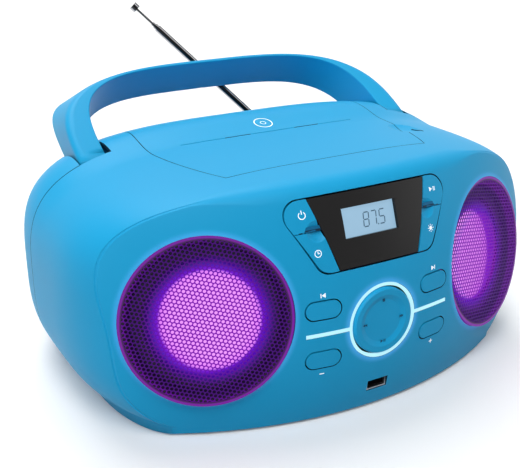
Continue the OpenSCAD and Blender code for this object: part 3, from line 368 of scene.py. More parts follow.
def crease_depth(inset):
    """Depth at which each column's loft line meets the fascia."""
    low, high = np.full(COLS, CREASE_FRONT), np.full(COLS, CREASE_BACK)
    for _ in range(50):
        mid = (low + high) / 2
        x, z = section(mid, inset)
        ahead = mid < fascia_y(x, z, inset)
        low, high = np.where(ahead, mid, low), np.where(ahead, high, mid)
    return (low + high) / 2


def cabinet_mesh(name, inset, fine):
    """Closed surface of the whole cabinet, drawn in by inset; the fine one has the edges that are seen."""
    fascia_rows, edge_rows, side_rows = FINE_ROWS if fine else PLAIN_ROWS
    yc = crease_depth(inset)
    xc, zc = section(yc, inset)
    if fine:
        back = EDGE_CRISP + EDGE_SOFT * smoothstep(*SOFT_X, np.abs(xc)) * smoothstep(*SOFT_Z, zc)
        line = EDGE_LINE * smoothstep(*LINE_X, np.abs(xc)) * smoothstep(*LINE_Z, zc)
    else:
        back, line = np.full(COLS, EDGE_PLAIN), np.zeros(COLS)
    s_end = 1 - back / np.hypot(xc, zc - FASCIA_POLE)
    rows = []
    for s in np.linspace(0, 1, fascia_rows)[1:]:
        x, z = s * s_end * xc, FASCIA_POLE + s * s_end * (zc - FASCIA_POLE)
        rows.append(np.stack([x, fascia_y(x, z, inset), z], 1))
    edge_start = rows[-1]
    corner = np.stack([xc, yc, zc], 1)
    side_y = yc + back
    x, z = section(side_y, inset)
    edge_end = np.stack([x, side_y, z], 1)
    inward = np.stack([-LINE_IN * np.sign(xc), np.full(COLS, LINE_BACK), np.zeros(COLS)], 1)
    for k in range(1, edge_rows):
        u = k / edge_rows
        curve = (1 - u) ** 2 * edge_start + 2 * u * (1 - u) * corner + u * u * edge_end
        rows.append(curve + (line * math.sin(math.pi * u) ** 2)[:, None] * inward)
    rear_y = REAR_END * HALF_D - inset
    th0, th1 = np.arcsin(side_y / HALF_D), math.asin((rear_y - (REAR_ROUND if fine else 0)) / HALF_D)
    for v in np.linspace(0, 1, side_rows):
        y = HALF_D * np.sin(th0 + (th1 - th0) * v)
        x, z = section(y, inset)
        rows.append(np.stack([x, y, z], 1))
    if fine:
        for k in range(1, REAR_STEPS + 1):
            turn = math.pi / 2 * k / REAR_STEPS
            x, z = section(np.full(COLS, rear_y - REAR_ROUND), REAR_ROUND * (1 - math.cos(turn)))
            rows.append(np.stack([x, np.full(COLS, rear_y - REAR_ROUND * (1 - math.sin(turn))), z], 1))
    last = rows[-1]
    hub = np.array([0.0, rear_y, REAR_HUB])
    for s in HUB_SHARES:
        rows.append(hub + s * (last - hub))
    pole = np.array([0.0, float(fascia_y(0.0, FASCIA_POLE, inset)), FASCIA_POLE])
    verts = np.concatenate([pole[None]] + rows + [hub[None]])
    faces = []
    for i in range(COLS):
        n = (i + 1) % COLS
        faces.append((0, 1 + n, 1 + i))
        for j in range(len(rows) - 1):
            p, q = 1 + j * COLS, 1 + (j + 1) * COLS
            faces.append((p + i, p + n, q + n, q + i))
        p = 1 + (len(rows) - 1) * COLS
        faces.append((p + i, p + n, len(verts) - 1))
    return outward(mesh_from(name, verts, faces))


# How near counts as on the surface, a length that keeps weights finite, and the least cosines for normals and materials
ON_SURFACE, TINY = 0.02 * MM, 1e-7
SMOOTH_COS, FACING_COS = 0.55, 0.5


def keep_normals(obj, source, second=False):
    """Gives corners that still lie on the source surface its smooth normals; cut faces stay flat.

    With second, faces that look away from the source surface take the second material, a darker blue that paints shade
    on cut walls, gaps and grooves.
    """
    src, data = source.data, obj.data
    polys = [tuple(p.vertices) for p in src.polygons]
    tree = BVHTree.FromPolygons([v.co for v in src.vertices], polys, epsilon=0)
    smooth_n = [Vector() for _ in src.vertices]
    for p in src.polygons:
        for k in p.vertices:
            smooth_n[k] += p.normal * p.area
    data.polygons.foreach_set("use_smooth", [True] * len(data.polygons))
    found = {}
    for v in data.vertices:
        co, _, index, dist = tree.find_nearest(v.co)
        if dist is None or dist > ON_SURFACE:
            continue
        total, weight = Vector(), 0.0
        for k in polys[index]:
            w = 1 / ((src.vertices[k].co - co).length + TINY)
            total += smooth_n[k].normalized() * w
            weight += w
        found[v.index] = (total / weight).normalized()
    normals = [None] * len(data.loops)
    for p in data.polygons:
        for li in p.loop_indices:
            n = found.get(data.loops[li].vertex_index)
            normals[li] = n if n is not None and n.dot(p.normal) > SMOOTH_COS else p.normal.copy()
        if second:
            flat = tree.find_nearest(p.center)[1]
            p.material_index = 0 if flat.dot(p.normal) > FACING_COS else 1
    data.normals_split_custom_set(normals)
    return obj


# Materials

def new_material(name):
    mat = bpy.data.materials.new(name)
    mat.use_nodes = True
    tree = mat.node_tree
    return mat, tree, tree.nodes["Principled BSDF"]


def set_inputs(node, values):
    for name, value in values.items():
        node.inputs[name].default_value = value


def add_node(tree, kind, values=None, operation=None):
    """New shader node with some of its inputs set."""
    node = tree.nodes.new("ShaderNode" + kind)
    if operation:
        node.operation = operation
    set_inputs(node, values or {})
    return node


def linear(r, g, b):
    return tuple(((c / 255 + 0.055) / 1.055) ** 2.4 if c > 10 else c / 255 / 12.92 for c in (r, g, b)) + (1.0,)


def plastic(name, rgb, rough, variation=0.06, grain=0.02):
    """Moulded plastic: slight cloudiness of colour and gloss, and a fine grain."""
    mat, tree, shader = new_material(name)
    base = linear(*rgb)[:3]
    coord = add_node(tree, "TexCoord")
    cloud = add_node(tree, "TexNoise", {"Scale": 14, "Detail": 3})
    tint = add_node(tree, "MixRGB", {
        "Color1": tuple(c * (1 - variation) for c in base) + (1,),
        "Color2": tuple(min(1, c * (1 + variation)) for c in base) + (1,),
    })
    speckle = add_node(tree, "TexNoise", {"Scale": 900, "Detail": 2})
    bump = add_node(tree, "Bump", {"Strength": grain, "Distance": 0.4 * MM})
    gloss = add_node(tree, "MapRange", {"To Min": rough - 0.03, "To Max": rough + 0.04})
    link = tree.links.new
    link(coord.outputs["Object"], cloud.inputs["Vector"])
    link(coord.outputs["Object"], speckle.inputs["Vector"])
    link(cloud.outputs["Fac"], tint.inputs["Fac"])
    link(tint.outputs["Color"], shader.inputs["Base Color"])
    link(cloud.outputs["Fac"], gloss.inputs["Value"])
    link(gloss.outputs["Result"], shader.inputs["Roughness"])
    link(speckle.outputs["Fac"], bump.inputs["Height"])
    link(bump.outputs["Normal"], shader.inputs["Normal"])
    set_inputs(shader, {"Specular IOR Level": 0.2})
    return mat


def fill_ramp(ramp, stops):
    elements = ramp.color_ramp.elements
    while len(elements) < len(stops):
        elements.new(0.5)
    for element, (place, rgb) in zip(elements, stops):
        element.position = place
        element.color = linear(*rgb)


def metal(name, rgb, rough, stretch=(1, 1, 1), painted_reflections=()):
    """Metal with uneven gloss; painted_reflections are (side, colour) bands of painted reflection that run along
    polished rods.
    """
    mat, tree, shader = new_material(name)
    coord = add_node(tree, "TexCoord")
    mapping = add_node(tree, "Mapping", {"Scale": stretch})
    noise = add_node(tree, "TexNoise", {"Scale": 300})
    gloss = add_node(tree, "MapRange", {"To Min": max(0.02, rough - 0.04), "To Max": rough + 0.06})
    link = tree.links.new
    link(coord.outputs["Object"], mapping.inputs["Vector"])
    link(mapping.outputs["Vector"], noise.inputs["Vector"])
    link(noise.outputs["Fac"], gloss.inputs["Value"])
    link(gloss.outputs["Result"], shader.inputs["Roughness"])
    set_inputs(shader, {"Base Color": linear(*rgb), "Metallic": 1.0})
    # Painted reflection: the colour follows which way the surface faces, in place of what it would mirror
    if painted_reflections:
        split = add_node(tree, "SeparateXYZ")
        span = add_node(tree, "MapRange", {"From Min": -1})
        ramp = add_node(tree, "ValToRGB")
        fill_ramp(ramp, painted_reflections)
        link(coord.outputs["Normal"], split.inputs["Vector"])
        link(split.outputs["X"], span.inputs["Value"])
        link(span.outputs["Result"], ramp.inputs["Fac"])
        link(ramp.outputs["Color"], shader.inputs["Base Color"])
    return mat


def glow(name, rgb, strength, base, uneven):
    """Lit plastic: an even light with slightly brighter and dimmer stretches."""
    mat, tree, shader = new_material(name)
    coord = add_node(tree, "TexCoord")
    noise = add_node(tree, "TexNoise", {"Scale": 40})
    level = add_node(tree, "MapRange", {"To Min": strength * (1 - uneven), "To Max": strength * (1 + uneven)})
    link = tree.links.new
    link(coord.outputs["Object"], noise.inputs["Vector"])
    link(noise.outputs["Fac"], level.inputs["Value"])
    link(level.outputs["Result"], shader.inputs["Emission Strength"])
    set_inputs(shader, {"Emission Color": linear(*rgb), "Base Color": linear(*base), "Roughness": 0.4})
    return mat


def axis_distance(tree, at):
    """Distance of a surface point from a frame's outward axis, in metres."""
    coord = add_node(tree, "TexCoord")
    offset = add_node(tree, "VectorMath", {1: tuple(at[0] * MM)}, "SUBTRACT")
    cross = add_node(tree, "VectorMath", {1: tuple(at[3])}, "CROSS_PRODUCT")
    length = add_node(tree, "VectorMath", operation="LENGTH")
    tree.links.new(coord.outputs["Object"], offset.inputs[0])
    tree.links.new(offset.outputs["Vector"], cross.inputs[0])
    tree.links.new(cross.outputs["Vector"], length.inputs[0])
    return length.outputs["Value"]


GLOW_REACH = 50


def radial_glow(name, at, stops, base=(8, 2, 14), shine=0.3):
    """Light that changes with the distance from a speaker's axis; stops are (millimetres, colour)."""
    mat, tree, shader = new_material(name)
    span = add_node(tree, "MapRange", {"From Max": GLOW_REACH * MM})
    ramp = add_node(tree, "ValToRGB")
    fill_ramp(ramp, [(r / GLOW_REACH, rgb) for r, rgb in stops])
    link = tree.links.new
    link(axis_distance(tree, at), span.inputs["Value"])
    link(span.outputs["Result"], ramp.inputs["Fac"])
    link(ramp.outputs["Color"], shader.inputs["Emission Color"])
    set_inputs(shader, {"Emission Strength": 1.0, "Base Color": linear(*base)})
    set_inputs(shader, {"Roughness": 0.5, "Specular IOR Level": shine})
    return mat


def add_halo(mat, places, rgb):
    """Paints the soft shine that lit rims throw on the plastic round them, as a glow of the plastic itself; places are
    (frame, inner, outer, strength).
    """
    tree = mat.node_tree
    shader = tree.nodes["Principled BSDF"]
    link = tree.links.new
    last = None
    for at, inner, outer, strength in places:
        fade = add_node(tree, "MapRange", {"From Min": outer * MM, "From Max": inner * MM, "To Max": strength})
        fade.interpolation_type = "SMOOTHERSTEP"
        link(axis_distance(tree, at), fade.inputs["Value"])
        level = fade.outputs["Result"]
        if last:
            total = add_node(tree, "Math")
            link(last, total.inputs[0])
            link(level, total.inputs[1])
            level = total.outputs["Value"]
        last = level
    set_inputs(shader, {"Emission Color": linear(*rgb)})
    link(last, shader.inputs["Emission Strength"])


BLUE, HALO = (24, 165, 219), (112, 160, 250)
# Inner and outer radius and strength of the painted shine round the speakers and round the ring
RIM_HALO, RING_HALO = (46.8, 51.0, 0.2), (22.0, 27.0, 0.26)
# Painted reflections on a polished rod: places across it, and the tone painted there for what it mirrors
PAINTED_REFLECTIONS = (
    (0.0, (150, 150, 154)), (0.1, (220, 220, 224)), (0.2, (64, 64, 66)), (0.36, (24, 24, 26)), (0.5, (34, 34, 36)),
    (0.57, (215, 216, 220)), (0.66, (70, 70, 74)), (1.0, (150, 150, 154)),
)
# Painted light on the cones and baffles behind the grilles, and on the grille sheets, by the distance from the
# speaker's axis; the first list also colours the lit rims
BEHIND = (
    (0, (240, 156, 252)), (22, (240, 152, 253)), (26.8, (230, 130, 252)), (28.2, (116, 14, 208)), (30.5, (82, 6, 178)),
    (33.5, (44, 2, 108)), (36.5, (14, 1, 34)), (44.2, (10, 1, 22)), (45.2, (66, 0, 92)), (45.9, (118, 0, 156)),
    (46.9, (104, 0, 142)),
)
SHEET_PAINTED_LIGHT = (
    (0, (124, 6, 170)), (25, (122, 6, 170)), (28, (92, 10, 164)), (31, (88, 12, 142)), (35, (66, 10, 108)),
    (40, (54, 8, 92)), (43, (64, 8, 104)), (44.5, (88, 6, 130)),
)
# The light sits off each speaker's axis, across and up
BEHIND_SHIFT = {"left": (2.5, -1.7), "right": (-2.5, -1.7)}
SHEET_SHIFT = {"left": (1.1, 0.6), "right": (-10.0, 0.6)}

blue = plastic("blue_plastic", BLUE, 0.45, variation=0.03, grain=0.03)
blue_front_painted_glow = plastic("blue_fascia_painted_glow", BLUE, 0.45, variation=0.03, grain=0.03)
add_halo(blue_front_painted_glow, [(at, *RIM_HALO) for at in speaker_at.values()] + [(ring_at, *RING_HALO)], HALO)
# Darker blue for the faces of cuts, seams and grooves and the inside of the shells: painted shade
blue_painted_shade = plastic("blue_gap_painted_shade", (2, 40, 62), 0.6)
# Darker blue patch for the finger recesses: painted shade
recess_painted_shade = plastic("blue_recess_painted_shade", (8, 104, 150), 0.5)
# Darker blue for the wells and the leg pockets: painted shade of these hollows
blue_inside_painted_shade = plastic("blue_inside_painted_shade", (12, 92, 132), 0.5)
black_window = plastic("window_black", (14, 13, 14), 0.3, variation=0.1, grain=0.005)
black = plastic("black_plastic", (22, 22, 24), 0.5)
rubber = plastic("foot_rubber", (20, 20, 20), 0.8, grain=0.08)
board = plastic("board_green", (20, 90, 50), 0.5)
chrome = metal("chrome", (120, 120, 124), 0.16, painted_reflections=PAINTED_REFLECTIONS)
steel = metal("steel", (180, 182, 186), 0.3, stretch=(1, 1, 8))
magnet_grey = metal("magnet_grey", (90, 90, 95), 0.5)
white_light = glow("light_white", (186, 243, 255), 0.98, base=(30, 60, 75), uneven=0.12)
# White print with a glow of its own: painted light on the print
print_white_painted_glow = glow("print_white_painted_glow", (235, 245, 250), 0.55, base=(235, 240, 242), uneven=0.05)
lcd_glass = glow("lcd_glass", (160, 200, 228), 0.75, base=(60, 80, 95), uneven=0.08)
lcd_digit = plastic("lcd_digit", (74, 104, 128), 0.5)
mark_dark = plastic("mark_dark", (4, 70, 105), 0.5)
behind, grille_painted_light, rim_light = {}, {}, {}
for side, at in speaker_at.items():
    behind[side] = radial_glow(f"{side}_speaker_light", moved(at, *BEHIND_SHIFT[side]), BEHIND)
    sheet_at = moved(at, *SHEET_SHIFT[side])
    # The grille sheets glow by their own emission: painted light on the metal
    grille_painted_light[side] = radial_glow(f"{side}_grille_metal_painted_light", sheet_at, SHEET_PAINTED_LIGHT, base=(34, 8, 64), shine=0.1)
    rim_light[side] = radial_glow(f"{side}_rim_light", at, BEHIND)

for obj in nodes.values():
    obj.data.materials.clear()
    obj.data.materials.append(blue)

for names, mat in (
    # The USB socket is given black plastic: painted shade inside its opening
    ("mains_inlet turntable pickup aerial_socket cd_chassis usb_socket", black),
    ("display_window", black_window),
    ("lcd_module", lcd_glass),
    ("ring_light_guide", white_light),
    ("left_cone left_speaker_frame", behind["left"]),
    ("right_cone right_speaker_frame", behind["right"]),
    ("left_light_ring", rim_light["left"]),
    ("right_light_ring", rim_light["right"]),
    ("left_magnet right_magnet", magnet_grey),
    ("display_board key_board main_board", board),
    ("lid_hinge_pins handle_pivots transformer battery_contacts spindle_motor guide_rods cabinet_screws", steel),
    ("aerial_knuckle aerial_tube_1 aerial_tube_2 aerial_tube_3 aerial_tip", chrome),
    ("feet", rubber),
    ("cd_well battery_box", blue_inside_painted_shade),
):
    for name in names.split():
        nodes[name].data.materials[0] = mat


# Cabinet shells; cutters end at CUT_TOP, above the cabinet, or at FAR, well outside it

CUT_TOP, FAR, THROUGH = 220, 300, 20
SEAM_GAP, LID_GAP = 0.3, 0.5
LEAN = math.radians(60)
HANDLE_IN, HANDLE_OUT = 104.01, 121.51
FOOT_Y, FOOT_Z, PIVOT_UP, PIVOT_DEPTH = SEAM + SEAM_GAP, 130.0, 10.8, 18.0
PIVOT_Y = FOOT_Y + PIVOT_UP * math.sin(LEAN) + PIVOT_DEPTH * math.cos(LEAN)
PIVOT_Z = FOOT_Z + PIVOT_UP * math.cos(LEAN) - PIVOT_DEPTH * math.sin(LEAN)
LEG_GAP_IN, LEG_GAP = 1.3, 0.6
POCKET_LOW, POCKET_FRONT, POCKET_BACK = PIVOT_Z - PIVOT_DEPTH - LEG_GAP, SEAM - 0.2, 85
POCKET_WALL, POCKET_LAP = 2, 1
LINER_INSET = 1.2
DECK, DECK_CORNER, DECK_CHAMFER, DECK_BACK = 102.4, 84.0, 14.0, 89.0
LID_FRONT, LID_FRONT_W, LID_MID_W, LID_MID_Y, LID_LOW = -47.0, 68.0, 84.0, 34.0, 121
LID_R = ((LID_MID_Y - LID_FRONT) ** 2 + (LID_MID_W - LID_FRONT_W) ** 2) / (2 * (LID_MID_W - LID_FRONT_W))
HINGE_Y, HINGE_Z, HINGE_R, HINGE_INSET = 78.0, 129.5, 5.5, 3


def front_zone(grow):
    """Everything of the front shell: all before the seam, and the deck between the handle legs."""
    side, back = DECK + grow, DECK_BACK + grow
    box = prism("front_box", rectangle(-FAR, -FAR, FAR, SEAM + grow), -FAR, FAR)
    right = [(side, 0), (side, DECK_CORNER), (side - DECK_CHAMFER, back)]
    outline = right + [(-x, y) for x, y in right[::-1]]
    return boolean(box, prism("tongue", outline, POCKET_LOW - POCKET_WALL, CUT_TOP), "UNION")


def lid_half(y, grow):
    return LID_MID_W - LID_R + np.sqrt((LID_R + grow) ** 2 - (y - LID_MID_Y) ** 2)


def lid_outline(grow, n=60):
    ys = np.linspace(LID_FRONT - grow, HINGE_Y, n)
    half = lid_half(ys, grow)
    return list(zip(half, ys)) + list(zip(-half[::-1], ys[::-1]))


def pocket_span(side):
    """Left and right wall of the pocket for one handle leg."""
    return sorted((side * (HANDLE_IN - LEG_GAP_IN), side * (HANDLE_OUT + LEG_GAP)))


outer = cabinet_mesh("outer", 0.0, True)
inner = cabinet_mesh("inner", WALL, False)
shell = boolean(duplicate(outer, "shell"), inner, "DIFFERENCE")

lid_back = float(lid_half(HINGE_Y, 0))
hinge_half = lid_back - HINGE_INSET
hinge_at = square_frame((0, HINGE_Y, HINGE_Z), Y, Z)
lid = boolean(duplicate(shell, "lid_skin"), prism("lid_cut", lid_outline(0), LID_LOW, CUT_TOP), "INTERSECT")
bar = prism("bar", circle(HINGE_R, 64), -hinge_half, hinge_half, hinge_at)
boolean(bar, duplicate(outer, "bar_limit"), "INTERSECT")
front = boolean(duplicate(shell, "front_shell"), front_zone(-SEAM_GAP), "INTERSECT")
rear = boolean(shell, front_zone(SEAM_GAP), "DIFFERENCE")

# Openings in the front shell

RIM_R, RING_HOLE, BAR_HOLE_L, BAR_HOLE_W = 47.0, 22.4, 96.2, 2.4
PANEL_TOP, PANEL_LOW, PANEL_HALF_H, PANEL_ROUND = 53.75, 40.75, 21.35, 9
PILL_X, PILL_ZS, PILL_W, PILL_H = 37.6852, (72.0, 42.7), 22.2, 11.4
USB_Z, USB_W, USB_H, USB_SLIP, USB_RIM = 16.5, 14, 7, 0.4, 1.8
# Where each cut ends behind the fascia and before it
SPEAKER_CUT, PANEL_CUT, RING_CUT, SMALL_CUT = (-8, 18), (-14, 6), (-10, 6), (-6, 6)
USB_EDGE_SPAN = (-3.0, -1.2)

for at in speaker_at.values():
    cut(front, circle(RIM_R, 128), *SPEAKER_CUT, at)
cut(front, rounded_trapezoid(PANEL_TOP, PANEL_LOW, PANEL_HALF_H, PANEL_ROUND), *PANEL_CUT, panel_at)
cut(front, circle(RING_HOLE), *RING_CUT, ring_at)
cut(front, block(0, 0, BAR_HOLE_L, BAR_HOLE_W), *RING_CUT, ring_at)
for z in PILL_ZS:
    for side, _ in SIDES:
        cut(front, oval(PILL_W, PILL_H), *SMALL_CUT, fascia_frame(side * PILL_X, z))
usb_at = square_frame((0, float(fascia_y(0, USB_Z)), USB_Z), X, Z)
cut(front, block(0, 0, USB_W, USB_H), *SMALL_CUT, usb_at)
usb_edge = prism("usb_edge", block(0, 0, USB_W - USB_SLIP, USB_H - USB_SLIP), *USB_EDGE_SPAN, usb_at)
cut(usb_edge, block(0, 0, USB_W - USB_RIM, USB_H - USB_RIM), *SMALL_CUT, usb_at)
dress(usb_edge, "usb_edge", (steel,), "cabinet")
cut(front, lid_outline(LID_GAP), LID_LOW, CUT_TOP)
cut(front, circle(HINGE_R + LID_GAP, 64), -lid_back - LID_GAP, lid_back + LID_GAP, hinge_at)

# Finger scoop and eject slot beside the lid, and the crease line across it

SCOOP_X, SCOOP_Y, SCOOP_R, SCOOP_DEPTH, SCOOP_LEAN = 79, -11.0, 11.0, 1.9, math.radians(10)
SLOT_X, SLOT_Y, SLOT_L, SLOT_W, SLOT_TURN = 89, -15, 10, 1.6, math.radians(105)
GROOVE_LEFT, GROOVE_RIGHT, GROOVE_Y, GROOVE_BEND = -64, 60, 18.3, 5
GROOVE_HALF_W, GROOVE_DEPTH, GROOVE_OVER, GROOVE_STEPS = 0.6, 1.0, 0.2, 63

ball_r = (SCOOP_R**2 + SCOOP_DEPTH**2) / (2 * SCOOP_DEPTH)
ball_at = np.array([SCOOP_X, SCOOP_Y, float(deck_z(SCOOP_X, SCOOP_Y))])
ball_at += (ball_r - SCOOP_DEPTH) * (math.sin(SCOOP_LEAN) * X + math.cos(SCOOP_LEAN) * Z)
for obj in (lid, front):
    boolean(obj, sphere("scoop", ball_at, ball_r), "DIFFERENCE")
slot_along = math.cos(SLOT_TURN) * X + math.sin(SLOT_TURN) * Y
slot_at = square_frame((SLOT_X, SLOT_Y, 0), slot_along, np.cross(Z, slot_along))
cut(front, oval(SLOT_L, SLOT_W), LID_LOW, CUT_TOP, slot_at)
groove = []
for x in np.linspace(GROOVE_LEFT, GROOVE_RIGHT, GROOVE_STEPS):
    y = GROOVE_Y + GROOVE_BEND * (abs(x) / LID_MID_W) ** 4
    z = float(deck_z(x, y))
    ends = [(x, y + way * GROOVE_HALF_W, z + GROOVE_OVER) for way in (-1, 1)]
    groove.append(np.array([ends[0], (x, y, z - GROOVE_DEPTH), ends[1]]))
boolean(lid, sweep("groove", groove), "DIFFERENCE")

# Openings in the rear shell

DOOR_LEFT, DOOR_RIGHT, DOOR_LOW, DOOR_HIGH, DOOR_GAP = -78, -6, 14, 72, 0.6
DOOR_FRONT, DOOR_BACK = 60, 130
INLET_AT, INLET_W, INLET_H = (48, 104.5, 30), 22.2, 14.2
AERIAL_AT, AERIAL_HOLE = (53.9, 105, 107), 7.1


def door_box(gap):
    outline = rectangle(DOOR_LEFT + gap, DOOR_FRONT, DOOR_RIGHT - gap, DOOR_BACK)
    return prism("door_box", outline, DOOR_LOW + gap, DOOR_HIGH - gap)


for side, _ in SIDES:
    x0, x1 = pocket_span(side)
    cut(rear, rectangle(x0, SEAM - POCKET_LAP, x1, POCKET_BACK), POCKET_LOW, CUT_TOP)
door = boolean(duplicate(rear, "door_skin"), door_box(DOOR_GAP), "INTERSECT")
boolean(rear, door_box(0), "DIFFERENCE")
cut(rear, oval(INLET_W, INLET_H), -THROUGH, THROUGH, square_frame(INLET_AT, X, Z))
cut(rear, circle(AERIAL_HOLE, 48), -THROUGH, THROUGH, square_frame(AERIAL_AT, X, Z))

for obj, node, body, mat in (
    (front, "front_cabinet", "cabinet", blue_front_painted_glow),
    (rear, "rear_cabinet", "cabinet", blue),
    (lid, "lid", "lid", blue),
    (door, "battery_door", "battery_door", blue),
):
    keep_normals(obj, outer, second=True)
    dress(obj, node + "_skin", (mat, blue_painted_shade), body, (node,))
keep_normals(bar, outer)
dress(bar, "lid_hinge_edge", (blue,), "lid")
bpy.data.objects.remove(outer)

# Walls of the pockets that hold the handle legs

liner = cabinet_mesh("liner", LINER_INSET, False)
for side, name in SIDES:
    x0, x1 = pocket_span(side)
    y0, y1 = POCKET_FRONT - POCKET_WALL, POCKET_BACK + POCKET_WALL
    pocket = prism("pocket", rectangle(x0 - POCKET_WALL, y0, x1 + POCKET_WALL, y1), POCKET_LOW - POCKET_WALL, CUT_TOP)
    boolean(pocket, liner, "INTERSECT", keep=True)
    cut(pocket, rectangle(x0, POCKET_FRONT, x1, POCKET_BACK), POCKET_LOW, CUT_TOP)
    dress(pocket, f"{name}_leg_pocket", (blue_inside_painted_shade,), "cabinet")
bpy.data.objects.remove(liner)

# Carry handle: four edges, each a superellipse, joined by ruled faces with rounded corners

handle_up = np.array([0, math.sin(LEAN), math.cos(LEAN)])
handle_back = np.array([0, math.cos(LEAN), -math.sin(LEAN)])
foot = np.array([0, FOOT_Y, FOOT_Z])
GRIP_D, PIVOT_HOLE = 29.0, 3.1
# Half width, rise, exponent and depth of each edge, and the rounding of its corner
EDGES = (
    (HANDLE_IN, 81.0, 3.8, GRIP_D, 1.1),
    (117.11, 89.0, 7.0, GRIP_D, 1.1),
    (HANDLE_OUT, 79.2, 3.1, 0.0, 6.0),
    (HANDLE_IN, 76.0, 3.8, 0.0, 1.1),
)
# Rings crowd towards the ends of each quarter, where points on a superellipse lie far apart; a corner's rounding
# takes up at most CORNER_SHARE of a side
CROWD, CORNER_SHARE = 2.4, 0.35


def handle_rings(steps=90, arc=6):
    u = np.linspace(0, 1, steps + 1)
    share = u**CROWD / (u**CROWD + (1 - u) ** CROWD)
    t = np.concatenate([math.pi / 2 * share, math.pi - math.pi / 2 * share[-2::-1]])
    c, s = np.cos(t), np.abs(np.sin(t))
    lines = []
    for w, rise, e, depth, _ in EDGES:
        x = np.concatenate([[w], w * np.sign(c) * np.abs(c) ** (2 / e), [-w]])
        v = np.concatenate([[-PIVOT_DEPTH], rise * s ** (2 / e), [-PIVOT_DEPTH]])
        lines.append(foot + x[:, None] * X + v[:, None] * handle_up + depth * handle_back)
    rings = []
    for quad in zip(*lines):
        ring = []
        for k, edge in enumerate(EDGES):
            p, a, b = quad[k], quad[k - 1], quad[(k + 1) % 4]
            to_a, to_b = np.linalg.norm(a - p), np.linalg.norm(b - p)
            start = p + (a - p) / to_a * min(edge[4], CORNER_SHARE * to_a)
            end = p + (b - p) / to_b * min(edge[4], CORNER_SHARE * to_b)
            for i in range(arc + 1):
                q = i / arc
                ring.append((1 - q) ** 2 * start + 2 * q * (1 - q) * p + q * q * end)
        rings.append(np.array(ring))
    return rings


handle_whole = sweep("handle_whole", handle_rings())
pivot_at = square_frame((0, PIVOT_Y, PIVOT_Z), Y, Z)
below = prism("below", rectangle(-FAR, -FAR, FAR, PIVOT_UP), -FAR, FAR, square_frame(foot, X, handle_up))
cut(below, circle(PIVOT_DEPTH), -CUT_TOP, CUT_TOP, pivot_at)
handle = boolean(duplicate(handle_whole, "handle_skin"), below, "DIFFERENCE")
cut(handle, circle(PIVOT_HOLE, 48), -CUT_TOP, CUT_TOP, pivot_at)
keep_normals(handle, handle_whole)
bpy.data.objects.remove(handle_whole)
dress(handle, "handle_skin", (blue,), "handle", ("handle",))

# Light ring and bars: a thin layer of the fascia

RING_IN, RING_OUT, RING_STEPS = 20.5, 22.2, 96
LIGHT_LOW, LIGHT_HIGH = -2.0, -0.05
BAR_END, BAR_HALF_W, BAR_LAP, BAR_STEPS = 48, 1.05, 0.2, 14

ring_section = ((RING_IN, LIGHT_LOW), (RING_IN, LIGHT_HIGH), (RING_OUT, LIGHT_HIGH), (RING_OUT, LIGHT_LOW))
verts, faces = [], []
for i in range(RING_STEPS):
    a = 2 * math.pi * i / RING_STEPS
    verts += [on_fascia(ring_at, r * math.cos(a), r * math.sin(a), lift) for r, lift in ring_section]
    p, q = 4 * i, 4 * ((i + 1) % RING_STEPS)
    faces += [(p + k, p + (k + 1) % 4, q + (k + 1) % 4, q + k) for k in range(4)]
ring = outward(mesh_from("ring", verts, faces, smooth=False))
dress(ring, "ring_light", (white_light,), "cabinet", ("ring_light_guide",))
for way, name in SIDES:
    xs = np.linspace(RING_OUT - BAR_LAP, BAR_END, BAR_STEPS)
    outline = [(way * x, -BAR_HALF_W) for x in xs] + [(way * x, BAR_HALF_W) for x in xs[::-1]]
    layer = fascia_layer("bar", outline, LIGHT_LOW, LIGHT_HIGH, ring_at)
    dress(layer, f"{name}_bar_light", (white_light,), "cabinet")

# Speakers: perforated sheets over lit wells

PITCH, HOLE_R, SHEET_T, SHEET_R, SHEET_SPARE = 2.385, 0.94, 0.3, 44.6, 0.8
MESH_TURN = math.radians(-14)
BAFFLE_IN, BAFFLE_DEPTH, BAFFLE_T = 34.0, 8, 2.5
# Corners of a cell, counting the middles of its six sides, and of its hole
CELL = 12


def perforated(name, at):
    """Sheet of six-sided cells, each with a round hole; points past its edge are drawn in to the edge."""
    o, right, up, out = at
    verts, faces = [], []
    rows = int(SHEET_R / (PITCH * math.sqrt(3) / 2)) + 2
    for j in range(-rows, rows + 1):
        for i in range(-rows - 4, rows + 5):
            across, along = (i + 0.5 * (j % 2)) * PITCH, j * PITCH * math.sqrt(3) / 2
            cu = across * math.cos(MESH_TURN) - along * math.sin(MESH_TURN)
            cv = across * math.sin(MESH_TURN) + along * math.cos(MESH_TURN)
            if math.hypot(cu, cv) > SHEET_R + SHEET_SPARE:
                continue
            base = len(verts)
            for depth in (0.0, -SHEET_T):
                for hole in (False, True):
                    for k in range(CELL):
                        a = 2 * math.pi * k / CELL + MESH_TURN
                        r = HOLE_R if hole else (PITCH / 2 if k % 2 == 0 else PITCH / math.sqrt(3))
                        pu, pv = cu + r * math.cos(a), cv + r * math.sin(a)
                        inside = min(1, SHEET_R / math.hypot(pu, pv))
                        verts.append(o + inside * pu * right + inside * pv * up + depth * out)
            face, face_hole, back, back_hole = (base + CELL * k for k in range(4))
            for k in range(CELL):
                n = (k + 1) % CELL
                faces.append((face + k, face + n, face_hole + n, face_hole + k))
                faces.append((face_hole + k, face_hole + n, back_hole + n, back_hole + k))
                faces.append((back + n, back + k, back_hole + k, back_hole + n))
    return mesh_from(name, verts, faces, smooth=False)


